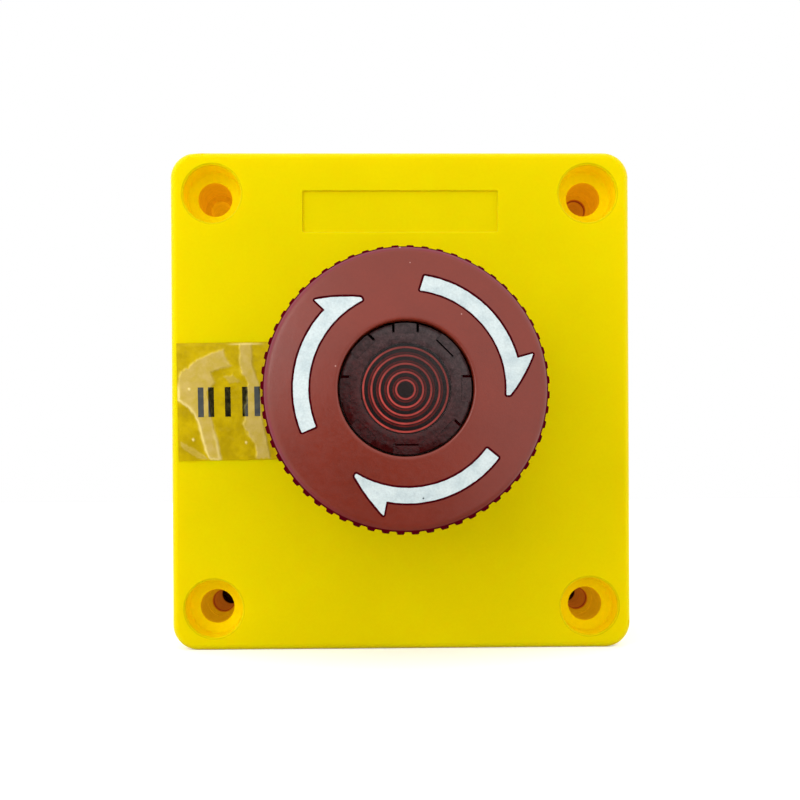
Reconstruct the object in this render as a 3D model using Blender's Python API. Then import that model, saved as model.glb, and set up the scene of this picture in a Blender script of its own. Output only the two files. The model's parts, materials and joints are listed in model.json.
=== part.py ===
"""Emergency stop station: a yellow two-part wall box with an illuminated mushroom head.

Every piece is drawn in the panel's own axes: x to the right, y up, z straight out of
the front panel, with the origin where the operator's axis meets the panel's face.
The empty panel_axis stands those axes upright, so that z out of the panel is world -Y,
y is world +Z, and the middle of the box's back face is the world's origin.
The head slides along this axis and turns about it, so every moving piece's origin is
on its own joint's axis.
"""

import math

import bmesh
import bpy

MM = 0.001

# Box
BOX_WIDTH = 72 * MM
BOX_HEIGHT = 78 * MM
BOX_DEPTH = 55 * MM
CORNER_RADIUS = 4 * MM
EDGE_ROUND = 1 * MM
WALL = 2.5 * MM
PANEL_THICKNESS = 3 * MM
BACK_THICKNESS = 3 * MM
COVER_DEPTH = 18 * MM
SEAM = 0.2 * MM

# Corner screw holes, which come empty
HOLE_INSET = 6.5 * MM
COUNTERBORE_RADIUS = 4.55 * MM
COUNTERBORE_DEPTH = 4.6 * MM
BORE_RADIUS = 2.65 * MM
PILOT_RADIUS = 1.675 * MM
PILOT_DEPTH = 18 * MM
COVER_POST_RADIUS = 6.1 * MM
COVER_POST_END = 14 * MM
BOX_POST_RADIUS = 5.2 * MM
BOX_POST_NECK_RADIUS = 3.75 * MM
BOX_POST_SHOULDER = 0.8 * MM
COUNTERBORE_FLOOR_ROUND = 0.5 * MM
COUNTERBORE_DRAFT = 0.1 * MM

# Panel features
LABEL_RECESS_SIZE = (31 * MM, 6.5 * MM)
LABEL_RECESS_HEIGHT = 29.7 * MM
LABEL_RECESS_DEPTH = 0.4 * MM
FILM_LEFT = -35.0 * MM
FILM_SIZE = (20 * MM, 18.4 * MM)
FILM_THICKNESS = 0.15 * MM
FILM_LIFT = 0.05 * MM
PANEL_HOLE_RADIUS = 11.2 * MM

# Rear box features
KNOCKOUT_RADIUS = 10.2 * MM
KNOCKOUT_GROOVE = 0.8 * MM
KNOCKOUT_DEPTH = 1.2 * MM
WALL_SLOT_OFFSET = 27 * MM
WALL_SLOT_RADIUS = 2.3 * MM
WALL_SLOT_LENGTH = 9 * MM
WALL_SLOT_END = 0.99
TONGUE_GAP = 0.2 * MM
TONGUE_INSET = 1.6 * MM
TONGUE_REACH = 3 * MM
TONGUE_END_GAP = 1 * MM
FOOT_INSET = 1.3 * MM
FOOT_BURIED = 0.5 * MM
FOOT_LOW = 2.8 * MM
FOOT_HIGH = 1.6 * MM
GASKET_GROOVE = (0.6 * MM, 1.9 * MM)
GASKET_GROOVE_DEPTH = 0.9 * MM
GASKET_CORD = (0.7 * MM, 1.8 * MM)
GASKET_CLEARANCE = 0.05 * MM

# Mushroom head
HEAD_RADIUS = 20 * MM
KNURL_TEETH = 60
KNURL_HEIGHT = 0.41 * MM
DOME_RADIUS = 80 * MM
DOME_TOP = 30.7 * MM
HEAD_EDGE_ROUND = 1.5 * MM
HEAD_BOTTOM = 17.2 * MM
ROOF_UNDERSIDE = 25.5 * MM
SKIRT_INNER_RADIUS = 17.3 * MM
HUB_RADIUS = 10.5 * MM
HUB_BOTTOM = 18.2 * MM
LENS_OPENING_RADIUS = 9.2 * MM
LENS_OPENING_ROUND = 0.25 * MM
HEAD_LEDGE = 24.5 * MM
HEAD_FOOT_ROUND = 0.7 * MM
ROOF_FILLET = 0.9 * MM
HEAD_FIT = 0.05 * MM
KNURL_ROOT_DEPTH = 0.2 * MM
KNURL_BURIED = 1 * MM
KNURL_BOTTOM_GAP = 1.2 * MM
KNURL_TOP_GAP = 4.7 * MM

# Turn-to-release arrows on the head
ARROW_COUNT = 3
ARROW_INNER = 13.4 * MM
ARROW_OUTER = 15.5 * MM
ARROW_BARB = 17.7 * MM
ARROW_START = 7.6
ARROW_BARB_ANGLE = 73.2
ARROW_TIP_ANGLE = 92.8
ARROW_FRONT_CURVE = 0.8
ARROW_DEPTH = 0.5 * MM
ARROW_GAP = 0.08 * MM
ARROW_LAYER = (26 * MM, 32 * MM)
ARROW_LAYER_SPAN = (ARROW_INNER - 1 * MM, ARROW_BARB + 0.7 * MM)

# Lens
LENS_RADIUS = 9.05 * MM
LENS_TOP = 28.8 * MM
LENS_BOTTOM = 26.2 * MM
LENS_UNDERSIDE = 27.2 * MM
LENS_SKIRT_RADIUS = 7.8 * MM
LENS_RING_COUNT = 5
LENS_RING_PITCH = 1.13 * MM
LENS_RING_HEIGHT = 0.5 * MM
LENS_RING_RUNOUT = 0.2 * MM
LENS_EDGE = 0.15 * MM
LENS_POCKET_COUNT = 8
LENS_POCKET_ANGLE = 20.0
LENS_POCKET_LENGTH = 1.4 * MM
LENS_POCKET_DEPTH = 1.0 * MM

# Operator
PUSH_TRAVEL = 5 * MM
TUBE_RADIUS = 10.95 * MM
TUBE_END = -12.5 * MM
COLLAR_RADIUS = 14.75 * MM
COLLAR_HEIGHT = 8 * MM
NECK_RADIUS = 12.6 * MM
NECK_TOP = 19 * MM
NECK_EDGE = 0.4 * MM
TUBE_EDGE = 0.5 * MM
CHAMBER_RADIUS = 11.2 * MM
CHAMBER_FLOOR = 2.9 * MM
SEAL_POCKET_RADIUS = 10.1 * MM
SEAL_POCKET_FLOOR = 1.1 * MM
SEAL_RADIUS = 9.25 * MM
SEAL_WIRE = 0.75 * MM
SEAL_HEIGHT = 1.95 * MM
SPRING_WASHER = (8.7 * MM, 11 * MM)
SPRING_WASHER_THICKNESS = 0.5 * MM
GASKET_TOP = 1.0 * MM
GASKET_RING = (11.1 * MM, 14.3 * MM)
WASHER_RING = (11.1 * MM, 14.2 * MM)
WASHER_THICKNESS = 0.8 * MM
NUT_RADIUS = 15.4 * MM
NUT_HEIGHT = 4.1 * MM
STACK_GAP = 0.1 * MM
PLUNGER_RADIUS = 8.4 * MM
PLUNGER_NECK_RADIUS = 8 * MM
PLUNGER_GROOVE_RADIUS = 7.45 * MM
PLUNGER_GROOVE = (0.1 * MM, 0.9 * MM)
PLUNGER_BORE = 5.8 * MM
PLUNGER_TOP_GAP = 0.2 * MM
RUNNING_CLEARANCE = 0.1 * MM
CIRCLIP_CLEARANCE = 0.05 * MM
CIRCLIP_OUTER_GAP = 0.3 * MM
CIRCLIP_OPENING = 18
NOTCH_HALF_WIDTH = 0.7 * MM
NOTCH_DEPTH = 0.8 * MM
NOTCH_HALF_LENGTH = 6 * MM
FLANGE_RADIUS = 10.9 * MM
FLANGE_BOTTOM = 16 * MM
FLANGE_TOP = 17.9 * MM
CLIP_HEIGHT = -9.3 * MM
CLIP_WIRE = 0.45 * MM
CLIP_LEG = 9.1 * MM
CLIP_LEG_END = 7.4 * MM
CLIP_BEND = 7 * MM
CLIP_SLOT_HALF_LENGTH = 7.7 * MM
CLIP_SLOT_ROOM = 0.25 * MM
RETURN_SPRING_RADIUS = 9.95 * MM
RETURN_SPRING_WIRE = 0.5 * MM

# Contact side, behind the panel
CARRIER_HALF_SIZE = (15.8 * MM, 18.8 * MM)
CARRIER_FRONT = -17.5 * MM
CARRIER_BACK = -20.5 * MM
CARRIER_COLLAR_TOP = -10.8 * MM
CARRIER_COLLAR_RADIUS = 13.6 * MM
CARRIER_BORE = 11.4 * MM
CARRIER_CORNER = 2 * MM
CARRIER_GRIP = 0.15 * MM
CARRIER_SCREW = (9 * MM, 16.2 * MM)
CARRIER_SCREW_HEAD = (2.3 * MM, 1.8 * MM)
CARRIER_SCREW_SHANK = 1.5 * MM
CARRIER_SCREW_HOLE = 1.65 * MM
CARRIER_SCREW_TIP_GAP = 0.3 * MM
FOOT_TOP = -12.8 * MM
FOOT_THICKNESS = 2.5 * MM
FOOT_REACH = 12.4 * MM
FOOT_ARM_HALF = 2.5 * MM
FOOT_CORNER = 0.8 * MM
FOOT_RING_STEP = 0.3 * MM
FOOT_SLOT_END = 0.4 * MM
FOOT_SLOT_SIDE = 0.15 * MM
BLOCK_FRONT = -20.6 * MM
BLOCK_BACK = -44 * MM
BLOCK_INNER = 5.4 * MM
BLOCK_OUTER = 15.4 * MM
BLOCK_HALF_HEIGHT = 13.5 * MM
BLOCK_WALL = 1.2 * MM
BLOCK_INNER_WALL = 1.02 * MM
BLOCK_LID = (0.05 * MM, 0.95 * MM)
CONTACT_X = 10.2 * MM
TERMINAL_Y = 10 * MM
SCREW_ACCESS_RADIUS = 1.9 * MM
STEM_HALF = 1.5 * MM
STEM_HOLE_HALF = 1.65 * MM
SLIDER_HALF = (3 * MM, 2 * MM)
SLIDER_TOP_GAP = 0.4 * MM
SLIDER_BACK = 3.5 * MM
SPIGOT_RADIUS = 1.1 * MM
SPIGOT_LENGTH = 2.5 * MM
BRIDGE_HEIGHT = -26.6 * MM
BRIDGE_THICKNESS = 0.8 * MM
BRIDGE_HALF_LENGTH = 7.2 * MM
BRIDGE_HALF_WIDTH = 2 * MM
BRIDGE_ROOM = 0.15 * MM
RIVET_Y = 5.8 * MM
RIVET_RADIUS = 1.1 * MM
RIVET_HEIGHT = 0.5 * MM
TERMINAL_ENDS = (4.4 * MM, 12.1 * MM)
TERMINAL_HALF_WIDTH = 2.6 * MM
TERMINAL_THICKNESS = 0.8 * MM
TERMINAL_HOLE = 1.4 * MM
TERMINAL_SCREW_HEAD = (1.8 * MM, 1.6 * MM)
TERMINAL_SCREW_SHANK = 1.2 * MM
TERMINAL_SCREW_REACH = 1.5 * MM
SCREW_EDGE = 0.2 * MM
SCREW_SLOT_HALF = 0.35 * MM
SCREW_SLOT_DEPTH = 0.45
BLOCK_SPRING_RADIUS = 1.8 * MM
BLOCK_SPRING_WIRE = 0.25 * MM
TOUCH_GAP = 0.1 * MM
LAMP_BLOCK_GAP = 0.4 * MM
LAMP_WELL_FLOOR = -34 * MM
LAMP_WELL_HALF_WIDTH = 3.2 * MM
LAMP_WELL_ENDS = (5.5 * MM, 12.3 * MM)
LAMP_TERMINAL_HALF_WIDTH = 2.9 * MM
LAMP_TERMINAL_ENDS = (5.8 * MM, 12 * MM)
LAMP_TERMINAL_Y = 9 * MM
LAMP_SCREW_HOLE = (1.3 * MM, -30 * MM)
LAMP_SCREW_SHANK = (1.15 * MM, -31 * MM)
LAMP_HOLDER_RADIUS = 5.4 * MM
LAMP_HOLDER_TOP = -8 * MM
LAMP_RADIUS = 4.6 * MM
LAMP_SPLIT = -4 * MM
LAMP_TIP = (1.2 * MM, 1.6 * MM)
LAMP_TOP = 17.5 * MM

FINE = 48
MEDIUM = 40
COARSE = 24
SMALL = 16
TINY = 12
PAST = 1 * MM

YELLOW = (0.82, 0.62, 0.01)
RED = (0.33, 0.045, 0.03)
SMOKED_RED = (0.10, 0.012, 0.010)
WHITE = (0.80, 0.84, 0.86)
BLACK = (0.02, 0.02, 0.022)
RUBBER = (0.03, 0.03, 0.03)
NYLON = (0.75, 0.73, 0.66)
STEEL = (0.60, 0.60, 0.60)
BRASS = (0.70, 0.52, 0.22)
CLEAR_FILM = (0.80, 0.68, 0.20)
RED_BLOCK = (0.35, 0.03, 0.03)
RED_SLIDER = (0.45, 0.04, 0.04)
GREEN_BLOCK = (0.03, 0.22, 0.08)
GREEN_SLIDER = (0.04, 0.30, 0.10)
DIFFUSER = (0.75, 0.75, 0.72)


# ---------------------------------------------------------------- outlines


def arc(centre, radius, start, end, steps):
    """Points of an arc from start to end, in degrees, both ends included."""
    for i in range(steps + 1):
        angle = math.radians(start + (end - start) * i / steps)
        yield centre[0] + radius * math.cos(angle), centre[1] + radius * math.sin(angle)


def rounded_rectangle(half_x, half_y, radius, steps=5):
    """A rectangle about the origin with rounded corners, counter-clockwise."""
    points = []
    for sign_x, sign_y, start in ((1, 1, 0), (-1, 1, 90), (-1, -1, 180), (1, -1, 270)):
        centre = (sign_x * (half_x - radius), sign_y * (half_y - radius))
        points += arc(centre, radius, start, start + 90, steps)
    return points


def box_outline(inset):
    """The box's outline, moved inwards all round."""
    return rounded_rectangle(
        BOX_WIDTH / 2 - inset, BOX_HEIGHT / 2 - inset, max(CORNER_RADIUS - inset, 0.8 * MM)
    )


def clockwise(radius, angle):
    """The point at this radius, at an angle in degrees clockwise from 12 o'clock."""
    turn = math.radians(angle)
    return radius * math.sin(turn), radius * math.cos(turn)


def arrow_outline(turn, grow):
    """A clockwise arrow: a curved band, a barb on its outer side and a point inside.

    grow moves the whole outline outwards, so the pocket can be wider than its inlay.
    """
    spread = math.degrees(grow / ARROW_OUTER)
    inner = ARROW_INNER - grow
    outer = ARROW_OUTER + grow
    start = turn + ARROW_START - spread
    barb = turn + ARROW_BARB_ANGLE - spread
    tip = turn + ARROW_TIP_ANGLE + 2 * spread
    band_steps = 10
    head_steps = 4
    points = []
    for i in range(band_steps + 1):
        points.append(clockwise(outer, start + (barb - start) * i / band_steps))
    points.append(clockwise(ARROW_BARB + grow, barb))
    for i in range(1, head_steps + 1):
        share = i / head_steps
        radius = ARROW_BARB + grow + (inner - ARROW_BARB - grow) * share**ARROW_FRONT_CURVE
        points.append(clockwise(radius, barb + (tip - barb) * share))
    for i in range(1, band_steps + 1):
        points.append(clockwise(inner, tip + (start - tip) * i / band_steps))
    return points


def dome_height(radius):
    return DOME_TOP - DOME_RADIUS + math.sqrt(DOME_RADIUS**2 - radius**2)


def dome_points(start, end, steps, offset=0.0):
    """Points of the dome's profile between two radii, moved up by offset."""
    for i in range(steps + 1):
        radius = start + (end - start) * i / steps
        yield radius, dome_height(radius) + offset


# ---------------------------------------------------------------- mesh tools


def new_mesh():
    return bmesh.new()


def add_prism(bm, outline, low, high):
    """An outline of (x, y) points, extruded from z = low to z = high."""
    base = bm.faces.new([bm.verts.new((x, y, low)) for x, y in outline])
    grown = bmesh.ops.extrude_face_region(bm, geom=[base])["geom"]
    top = [item for item in grown if isinstance(item, bmesh.types.BMVert)]
    bmesh.ops.translate(bm, vec=(0, 0, high - low), verts=top)


def add_box(bm, low, high):
    (x0, y0, z0), (x1, y1, z1) = low, high
    add_prism(bm, [(x0, y0), (x1, y0), (x1, y1), (x0, y1)], z0, z1)


def add_turned(bm, profile, segments, centre=(0.0, 0.0)):
    """A profile of (radius, z) points, spun about the line through centre."""
    points = [bm.verts.new((centre[0] + r, centre[1], z)) for r, z in profile]
    edges = []
    for (a, b), (first, second) in zip(
        zip(points, points[1:] + points[:1]), zip(profile, profile[1:] + profile[:1])
    ):
        if first[0] > 0 or second[0] > 0:
            edges.append(bm.edges.new((a, b)))
    bmesh.ops.spin(
        bm,
        geom=points + edges,
        axis=(0, 0, 1),
        cent=(centre[0], centre[1], 0),
        angle=2 * math.pi,
        steps=segments,
        use_merge=True,
    )
    bmesh.ops.remove_doubles(bm, verts=bm.verts, dist=1e-7)


def add_cylinder(bm, radius, low, high, segments, centre=(0.0, 0.0)):
    add_turned(bm, [(0, low), (radius, low), (radius, high), (0, high)], segments, centre)


def add_ring(bm, inner, outer, low, high, segments, centre=(0.0, 0.0)):
    profile = [(inner, low), (outer, low), (outer, high), (inner, high)]
    add_turned(bm, profile, segments, centre)


def add_swept_wire(bm, path, radius, sides, closed=False):
    """A round wire along a path of points in a plane of equal z, or along a coil."""
    rings = []
    count = len(path)
    for i, point in enumerate(path):
        before = path[i - 1] if closed or i > 0 else point
        after = path[(i + 1) % count] if closed or i < count - 1 else point
        along = [b - a for a, b in zip(before, after)]
        length = math.sqrt(sum(c * c for c in along))
        along = [c / length for c in along]
        flat = math.hypot(along[0], along[1])
        side = (along[1] / flat, -along[0] / flat, 0.0)
        up = (
            side[1] * along[2],
            -side[0] * along[2],
            side[0] * along[1] - side[1] * along[0],
        )
        ring = []
        for k in range(sides):
            angle = 2 * math.pi * k / sides
            c, s = radius * math.cos(angle), radius * math.sin(angle)
            ring.append(bm.verts.new([p + c * a + s * b for p, a, b in zip(point, side, up)]))
        rings.append(ring)
    pairs = list(zip(rings, rings[1:]))
    if closed:
        pairs.append((rings[-1], rings[0]))
    else:
        bm.faces.new(rings[0])
        bm.faces.new(rings[-1])
    for a, b in pairs:
        for k in range(sides):
            n = (k + 1) % sides
            bm.faces.new((a[k], a[n], b[n], b[k]))


def coil(radius, low, high, turns, steps, centre=(0.0, 0.0)):
    """The centre line of a coil spring."""
    path = []
    for i in range(int(turns * steps) + 1):
        angle = 2 * math.pi * i / steps
        height = low + (high - low) * i / (turns * steps)
        path.append(
            (centre[0] + radius * math.cos(angle), centre[1] + radius * math.sin(angle), height)
        )
    return path


# ---------------------------------------------------------------- objects


def clear_scene():
    for found in list(bpy.data.objects):
        bpy.data.objects.remove(found, do_unlink=True)


def make_axis():
    """The empty that stands the panel's axes upright, z out of the panel being -Y."""
    axis = bpy.data.objects.new("panel_axis", None)
    axis.location = (0, -BOX_DEPTH, 0)
    axis.rotation_euler = (math.radians(90), 0, 0)
    bpy.context.scene.collection.objects.link(axis)
    return axis


def finish(name, colour, roughness, metallic=0.0):
    material = bpy.data.materials.new(name)
    material.use_nodes = True
    shader = material.node_tree.nodes["Principled BSDF"]
    shader.inputs["Base Color"].default_value = (*colour, 1)
    shader.inputs["Roughness"].default_value = roughness
    shader.inputs["Metallic"].default_value = metallic
    material.diffuse_color = (*colour, 1)
    return material


def place(name, bm):
    bmesh.ops.recalc_face_normals(bm, faces=bm.faces)
    mesh = bpy.data.meshes.new(name)
    bm.to_mesh(mesh)
    bm.free()
    made = bpy.data.objects.new(name, mesh)
    made.parent = bpy.data.objects["panel_axis"]
    bpy.context.scene.collection.objects.link(made)
    return made


def piece(name, bm, colour, roughness, metallic=0.0):
    made = place(name, bm)
    made.data.materials.append(finish(name, colour, roughness, metallic))
    made.data.shade_smooth()
    made.data.set_sharp_from_angle(angle=math.radians(30))
    return made


def guide(name, bm):
    """A helper body for a Boolean: it isn't a piece of the object."""
    made = place(name, bm)
    made.hide_render = True
    made.display_type = "WIRE"
    return made


def combine(target, tool, operation):
    """operation is UNION, DIFFERENCE or INTERSECT."""
    modifier = target.modifiers.new(f"{operation.lower()} {tool.name}", "BOOLEAN")
    modifier.operation = operation
    modifier.solver = "EXACT"
    modifier.object = tool


def corners():
    for sign_x in (-1, 1):
        for sign_y in (-1, 1):
            yield (
                sign_x * (BOX_WIDTH / 2 - HOLE_INSET),
                sign_y * (BOX_HEIGHT / 2 - HOLE_INSET),
            )


# ---------------------------------------------------------------- box


def round_front_edge(bm, height):
    """Rounds the outer edge of the face that lies at this height."""
    rim = [
        edge
        for edge in bm.edges
        if all(abs(v.co.z - height) < 1e-7 for v in edge.verts)
    ]
    bmesh.ops.bevel(
        bm, geom=rim, offset=EDGE_ROUND, segments=3, profile=0.5, affect="EDGES"
    )


def make_front_cover():
    shell = new_mesh()
    add_prism(shell, box_outline(0), -COVER_DEPTH, 0)
    round_front_edge(shell, 0)
    cover = piece("front_cover", shell, YELLOW, 0.38)

    hollow = new_mesh()
    add_prism(hollow, box_outline(WALL), -COVER_DEPTH - PAST, -PANEL_THICKNESS)
    combine(cover, guide("cover_hollow", hollow), "DIFFERENCE")

    posts = new_mesh()
    for corner in corners():
        add_cylinder(
            posts, COVER_POST_RADIUS, -COVER_POST_END, -PANEL_THICKNESS / 2, COARSE, corner
        )
    inside = new_mesh()
    add_prism(inside, box_outline(WALL / 2), -COVER_POST_END - PAST, 0)
    posts_guide = guide("cover_posts", posts)
    combine(posts_guide, guide("cover_posts_limit", inside), "INTERSECT")
    combine(cover, posts_guide, "UNION")

    openings = new_mesh()
    for corner in corners():
        profile = [
            (0, -COVER_DEPTH),
            (BORE_RADIUS, -COVER_DEPTH),
            (BORE_RADIUS, -COUNTERBORE_DEPTH),
            (COUNTERBORE_RADIUS - COUNTERBORE_FLOOR_ROUND, -COUNTERBORE_DEPTH),
            (
                COUNTERBORE_RADIUS - COUNTERBORE_DRAFT,
                -COUNTERBORE_DEPTH + COUNTERBORE_FLOOR_ROUND,
            ),
            (COUNTERBORE_RADIUS, PAST),
            (0, PAST),
        ]
        add_turned(openings, profile, COARSE, corner)
    add_cylinder(openings, PANEL_HOLE_RADIUS, -PANEL_THICKNESS - PAST, PAST, FINE)
    half_x, half_y = (size / 2 for size in LABEL_RECESS_SIZE)
    add_box(
        openings,
        (-half_x, LABEL_RECESS_HEIGHT - half_y, -LABEL_RECESS_DEPTH),
        (half_x, LABEL_RECESS_HEIGHT + half_y, PAST),
    )
    combine(cover, guide("cover_openings", openings), "DIFFERENCE")


def make_rear_box():
    rim = -COVER_DEPTH - SEAM
    shell = new_mesh()
    add_prism(shell, box_outline(0), -BOX_DEPTH, rim)
    rear = piece("rear_box", shell, YELLOW, 0.42)

    hollow = new_mesh()
    add_prism(hollow, box_outline(WALL), -BOX_DEPTH + BACK_THICKNESS, rim + PAST)
    combine(rear, guide("box_hollow", hollow), "DIFFERENCE")

    posts = new_mesh()
    post_bottom = -BOX_DEPTH + BACK_THICKNESS / 2
    post_top = -COVER_POST_END - SEAM
    for corner in corners():
        profile = [
            (0, post_bottom),
            (BOX_POST_RADIUS, post_bottom),
            (BOX_POST_RADIUS, rim - BOX_POST_SHOULDER),
            (BOX_POST_NECK_RADIUS, rim - BOX_POST_SHOULDER),
            (BOX_POST_NECK_RADIUS, post_top),
            (0, post_top),
        ]
        add_turned(posts, profile, SMALL, corner)
    combine(rear, guide("box_posts", posts), "UNION")

    tongues = new_mesh()
    add_wall_strips(tongues, TONGUE_GAP, TONGUE_INSET, rim - TONGUE_REACH, rim + TONGUE_REACH, 0)
    combine(rear, guide("box_tongues", tongues), "UNION")
    feet = new_mesh()
    add_wall_strips(
        feet, -FOOT_BURIED, FOOT_INSET, rim - FOOT_LOW, rim - FOOT_HIGH, TONGUE_END_GAP
    )
    combine(rear, guide("box_tongue_feet", feet), "UNION")

    openings = new_mesh()
    for corner in corners():
        add_cylinder(
            openings, PILOT_RADIUS, post_top - PILOT_DEPTH, post_top + PAST, TINY, corner
        )
    corner_radius = WALL_SLOT_RADIUS * WALL_SLOT_END
    horizontal = rounded_rectangle(WALL_SLOT_LENGTH / 2, WALL_SLOT_RADIUS, corner_radius)
    vertical = rounded_rectangle(WALL_SLOT_RADIUS, WALL_SLOT_LENGTH / 2, corner_radius)
    for slot, height in ((horizontal, WALL_SLOT_OFFSET), (vertical, -WALL_SLOT_OFFSET)):
        outline = [(x, y + height) for x, y in slot]
        add_prism(openings, outline, -BOX_DEPTH - PAST, -BOX_DEPTH + BACK_THICKNESS + PAST)
    combine(rear, guide("box_openings", openings), "DIFFERENCE")

    grooves = new_mesh()
    add_knockout_grooves(grooves)
    combine(rear, guide("box_knockouts", grooves), "DIFFERENCE")


def add_wall_strips(bm, outer, inner, low, high, shorten):
    """A strip along each of the four walls, from one inset to another, clear of the posts."""
    reach_x = BOX_WIDTH / 2 - WALL
    reach_y = BOX_HEIGHT / 2 - WALL
    post_reach = HOLE_INSET + COVER_POST_RADIUS + TONGUE_END_GAP + shorten
    clear_x = BOX_WIDTH / 2 - post_reach
    clear_y = BOX_HEIGHT / 2 - post_reach
    for side in (-1, 1):
        xs = sorted((side * (reach_x - outer), side * (reach_x - inner)))
        ys = sorted((side * (reach_y - outer), side * (reach_y - inner)))
        add_box(bm, (xs[0], -clear_y, low), (xs[1], clear_y, high))
        add_box(bm, (-clear_x, ys[0], low), (clear_x, ys[1], high))


def add_knockout_grooves(bm):
    """Ring grooves in the top and bottom walls, where a cable gland can be opened."""
    middle = -(BOX_DEPTH + COVER_DEPTH) / 2
    for side in (-1, 1):
        groove = bmesh.new()
        face = BOX_HEIGHT / 2
        add_ring(
            groove,
            KNOCKOUT_RADIUS - KNOCKOUT_GROOVE,
            KNOCKOUT_RADIUS,
            face - KNOCKOUT_DEPTH,
            face + PAST,
            MEDIUM,
        )
        for vertex in groove.verts:
            x, y, z = vertex.co
            vertex.co = (x, side * z, middle + y)
        mesh = bpy.data.meshes.new("groove")
        groove.to_mesh(mesh)
        groove.free()
        bm.from_mesh(mesh)
        bpy.data.meshes.remove(mesh)


def make_cover_gasket():
    """The rubber cord that sits in the groove of the rear box's rim."""
    groove_floor = -COVER_DEPTH - SEAM - GASKET_GROOVE_DEPTH
    groove = new_mesh()
    add_frame(groove, *GASKET_GROOVE, groove_floor, -COVER_DEPTH + PAST)
    combine(bpy.data.objects["rear_box"], guide("box_gasket_groove", groove), "DIFFERENCE")
    cord = new_mesh()
    low = groove_floor + GASKET_CLEARANCE
    add_frame(cord, *GASKET_CORD, low, -COVER_DEPTH - GASKET_CLEARANCE)
    piece("cover_gasket", cord, RUBBER, 0.8)


def add_frame(bm, outer_inset, inner_inset, low, high):
    """A closed frame that follows the box's outline between two insets."""
    rings = []
    for inset, height in (
        (outer_inset, low),
        (outer_inset, high),
        (inner_inset, high),
        (inner_inset, low),
    ):
        rings.append([bm.verts.new((x, y, height)) for x, y in box_outline(inset)])
    count = len(rings[0])
    for a, b in zip(rings, rings[1:] + rings[:1]):
        for i in range(count):
            n = (i + 1) % count
            bm.faces.new((a[i], a[n], b[n], b[i]))


def make_stop_label():
    film = new_mesh()
    width, height = FILM_SIZE
    add_box(
        film,
        (FILM_LEFT, -height / 2, FILM_LIFT),
        (FILM_LEFT + width, height / 2, FILM_LIFT + FILM_THICKNESS),
    )
    piece("stop_label", film, CLEAR_FILM, 0.2)


# ---------------------------------------------------------------- head


def head_profile():
    """The head's turned section, from the hub's foot round the outside to its bore."""
    side = HEAD_RADIUS - KNURL_HEIGHT
    round_x = side - HEAD_EDGE_ROUND
    sphere = DOME_TOP - DOME_RADIUS
    reach = DOME_RADIUS - HEAD_EDGE_ROUND
    round_z = sphere + math.sqrt(reach**2 - round_x**2)
    lean = math.degrees(math.asin(round_x / reach))
    touch = DOME_RADIUS * math.sin(math.radians(lean))
    bore = PLUNGER_NECK_RADIUS + HEAD_FIT
    profile = [
        (bore, HUB_BOTTOM),
        (HUB_RADIUS, HUB_BOTTOM),
        (HUB_RADIUS, ROOF_UNDERSIDE),
        (SKIRT_INNER_RADIUS - ROOF_FILLET, ROOF_UNDERSIDE),
        (SKIRT_INNER_RADIUS, ROOF_UNDERSIDE - ROOF_FILLET),
        (SKIRT_INNER_RADIUS, HEAD_BOTTOM),
        (side - HEAD_FOOT_ROUND, HEAD_BOTTOM),
        (side, HEAD_BOTTOM + HEAD_FOOT_ROUND),
    ]
    profile += arc((round_x, round_z), HEAD_EDGE_ROUND, 0, 90 - lean, 3)
    profile += list(dome_points(touch, LENS_OPENING_RADIUS + LENS_OPENING_ROUND, 4))[1:]
    profile += [
        (LENS_OPENING_RADIUS, dome_height(LENS_OPENING_RADIUS) - LENS_OPENING_ROUND),
        (LENS_OPENING_RADIUS, HEAD_LEDGE),
        (bore, HEAD_LEDGE),
    ]
    return profile


def knurl_outline():
    """The teeth's outline: each one is a flat tip between two sloping flanks."""
    root = HEAD_RADIUS - KNURL_HEIGHT - KNURL_ROOT_DEPTH
    pitch = 2 * math.pi / KNURL_TEETH
    points = []
    for tooth in range(KNURL_TEETH):
        for share, radius in ((-0.3, root), (-0.22, HEAD_RADIUS), (0.22, HEAD_RADIUS), (0.3, root)):
            angle = pitch * (tooth + share)
            points.append((radius * math.cos(angle), radius * math.sin(angle)))
    return points


def add_knurl(bm, low, high):
    """A toothed ring whose inner circle is buried in the head's skirt."""
    radius = SKIRT_INNER_RADIUS + KNURL_BURIED
    inner = []
    for tooth in range(KNURL_TEETH):
        angle = 2 * math.pi * (tooth - 0.5) / KNURL_TEETH
        inner.append((radius * math.cos(angle), radius * math.sin(angle)))
    outer = knurl_outline()
    levels = []
    for z in (low, high):
        levels.append([[bm.verts.new((x, y, z)) for x, y in ring] for ring in (inner, outer)])
    (inner_low, outer_low), (inner_high, outer_high) = levels
    for ring, tooth_ring in levels:
        for tooth in range(KNURL_TEETH):
            after = (tooth + 1) % KNURL_TEETH
            tips = tooth_ring[4 * tooth : 4 * tooth + 4]
            bm.faces.new([ring[tooth], *tips, tooth_ring[4 * after], ring[after]])
    for loop_low, loop_high in ((inner_low, inner_high), (outer_low, outer_high)):
        count = len(loop_low)
        for i in range(count):
            n = (i + 1) % count
            bm.faces.new((loop_low[i], loop_low[n], loop_high[n], loop_high[i]))


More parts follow.
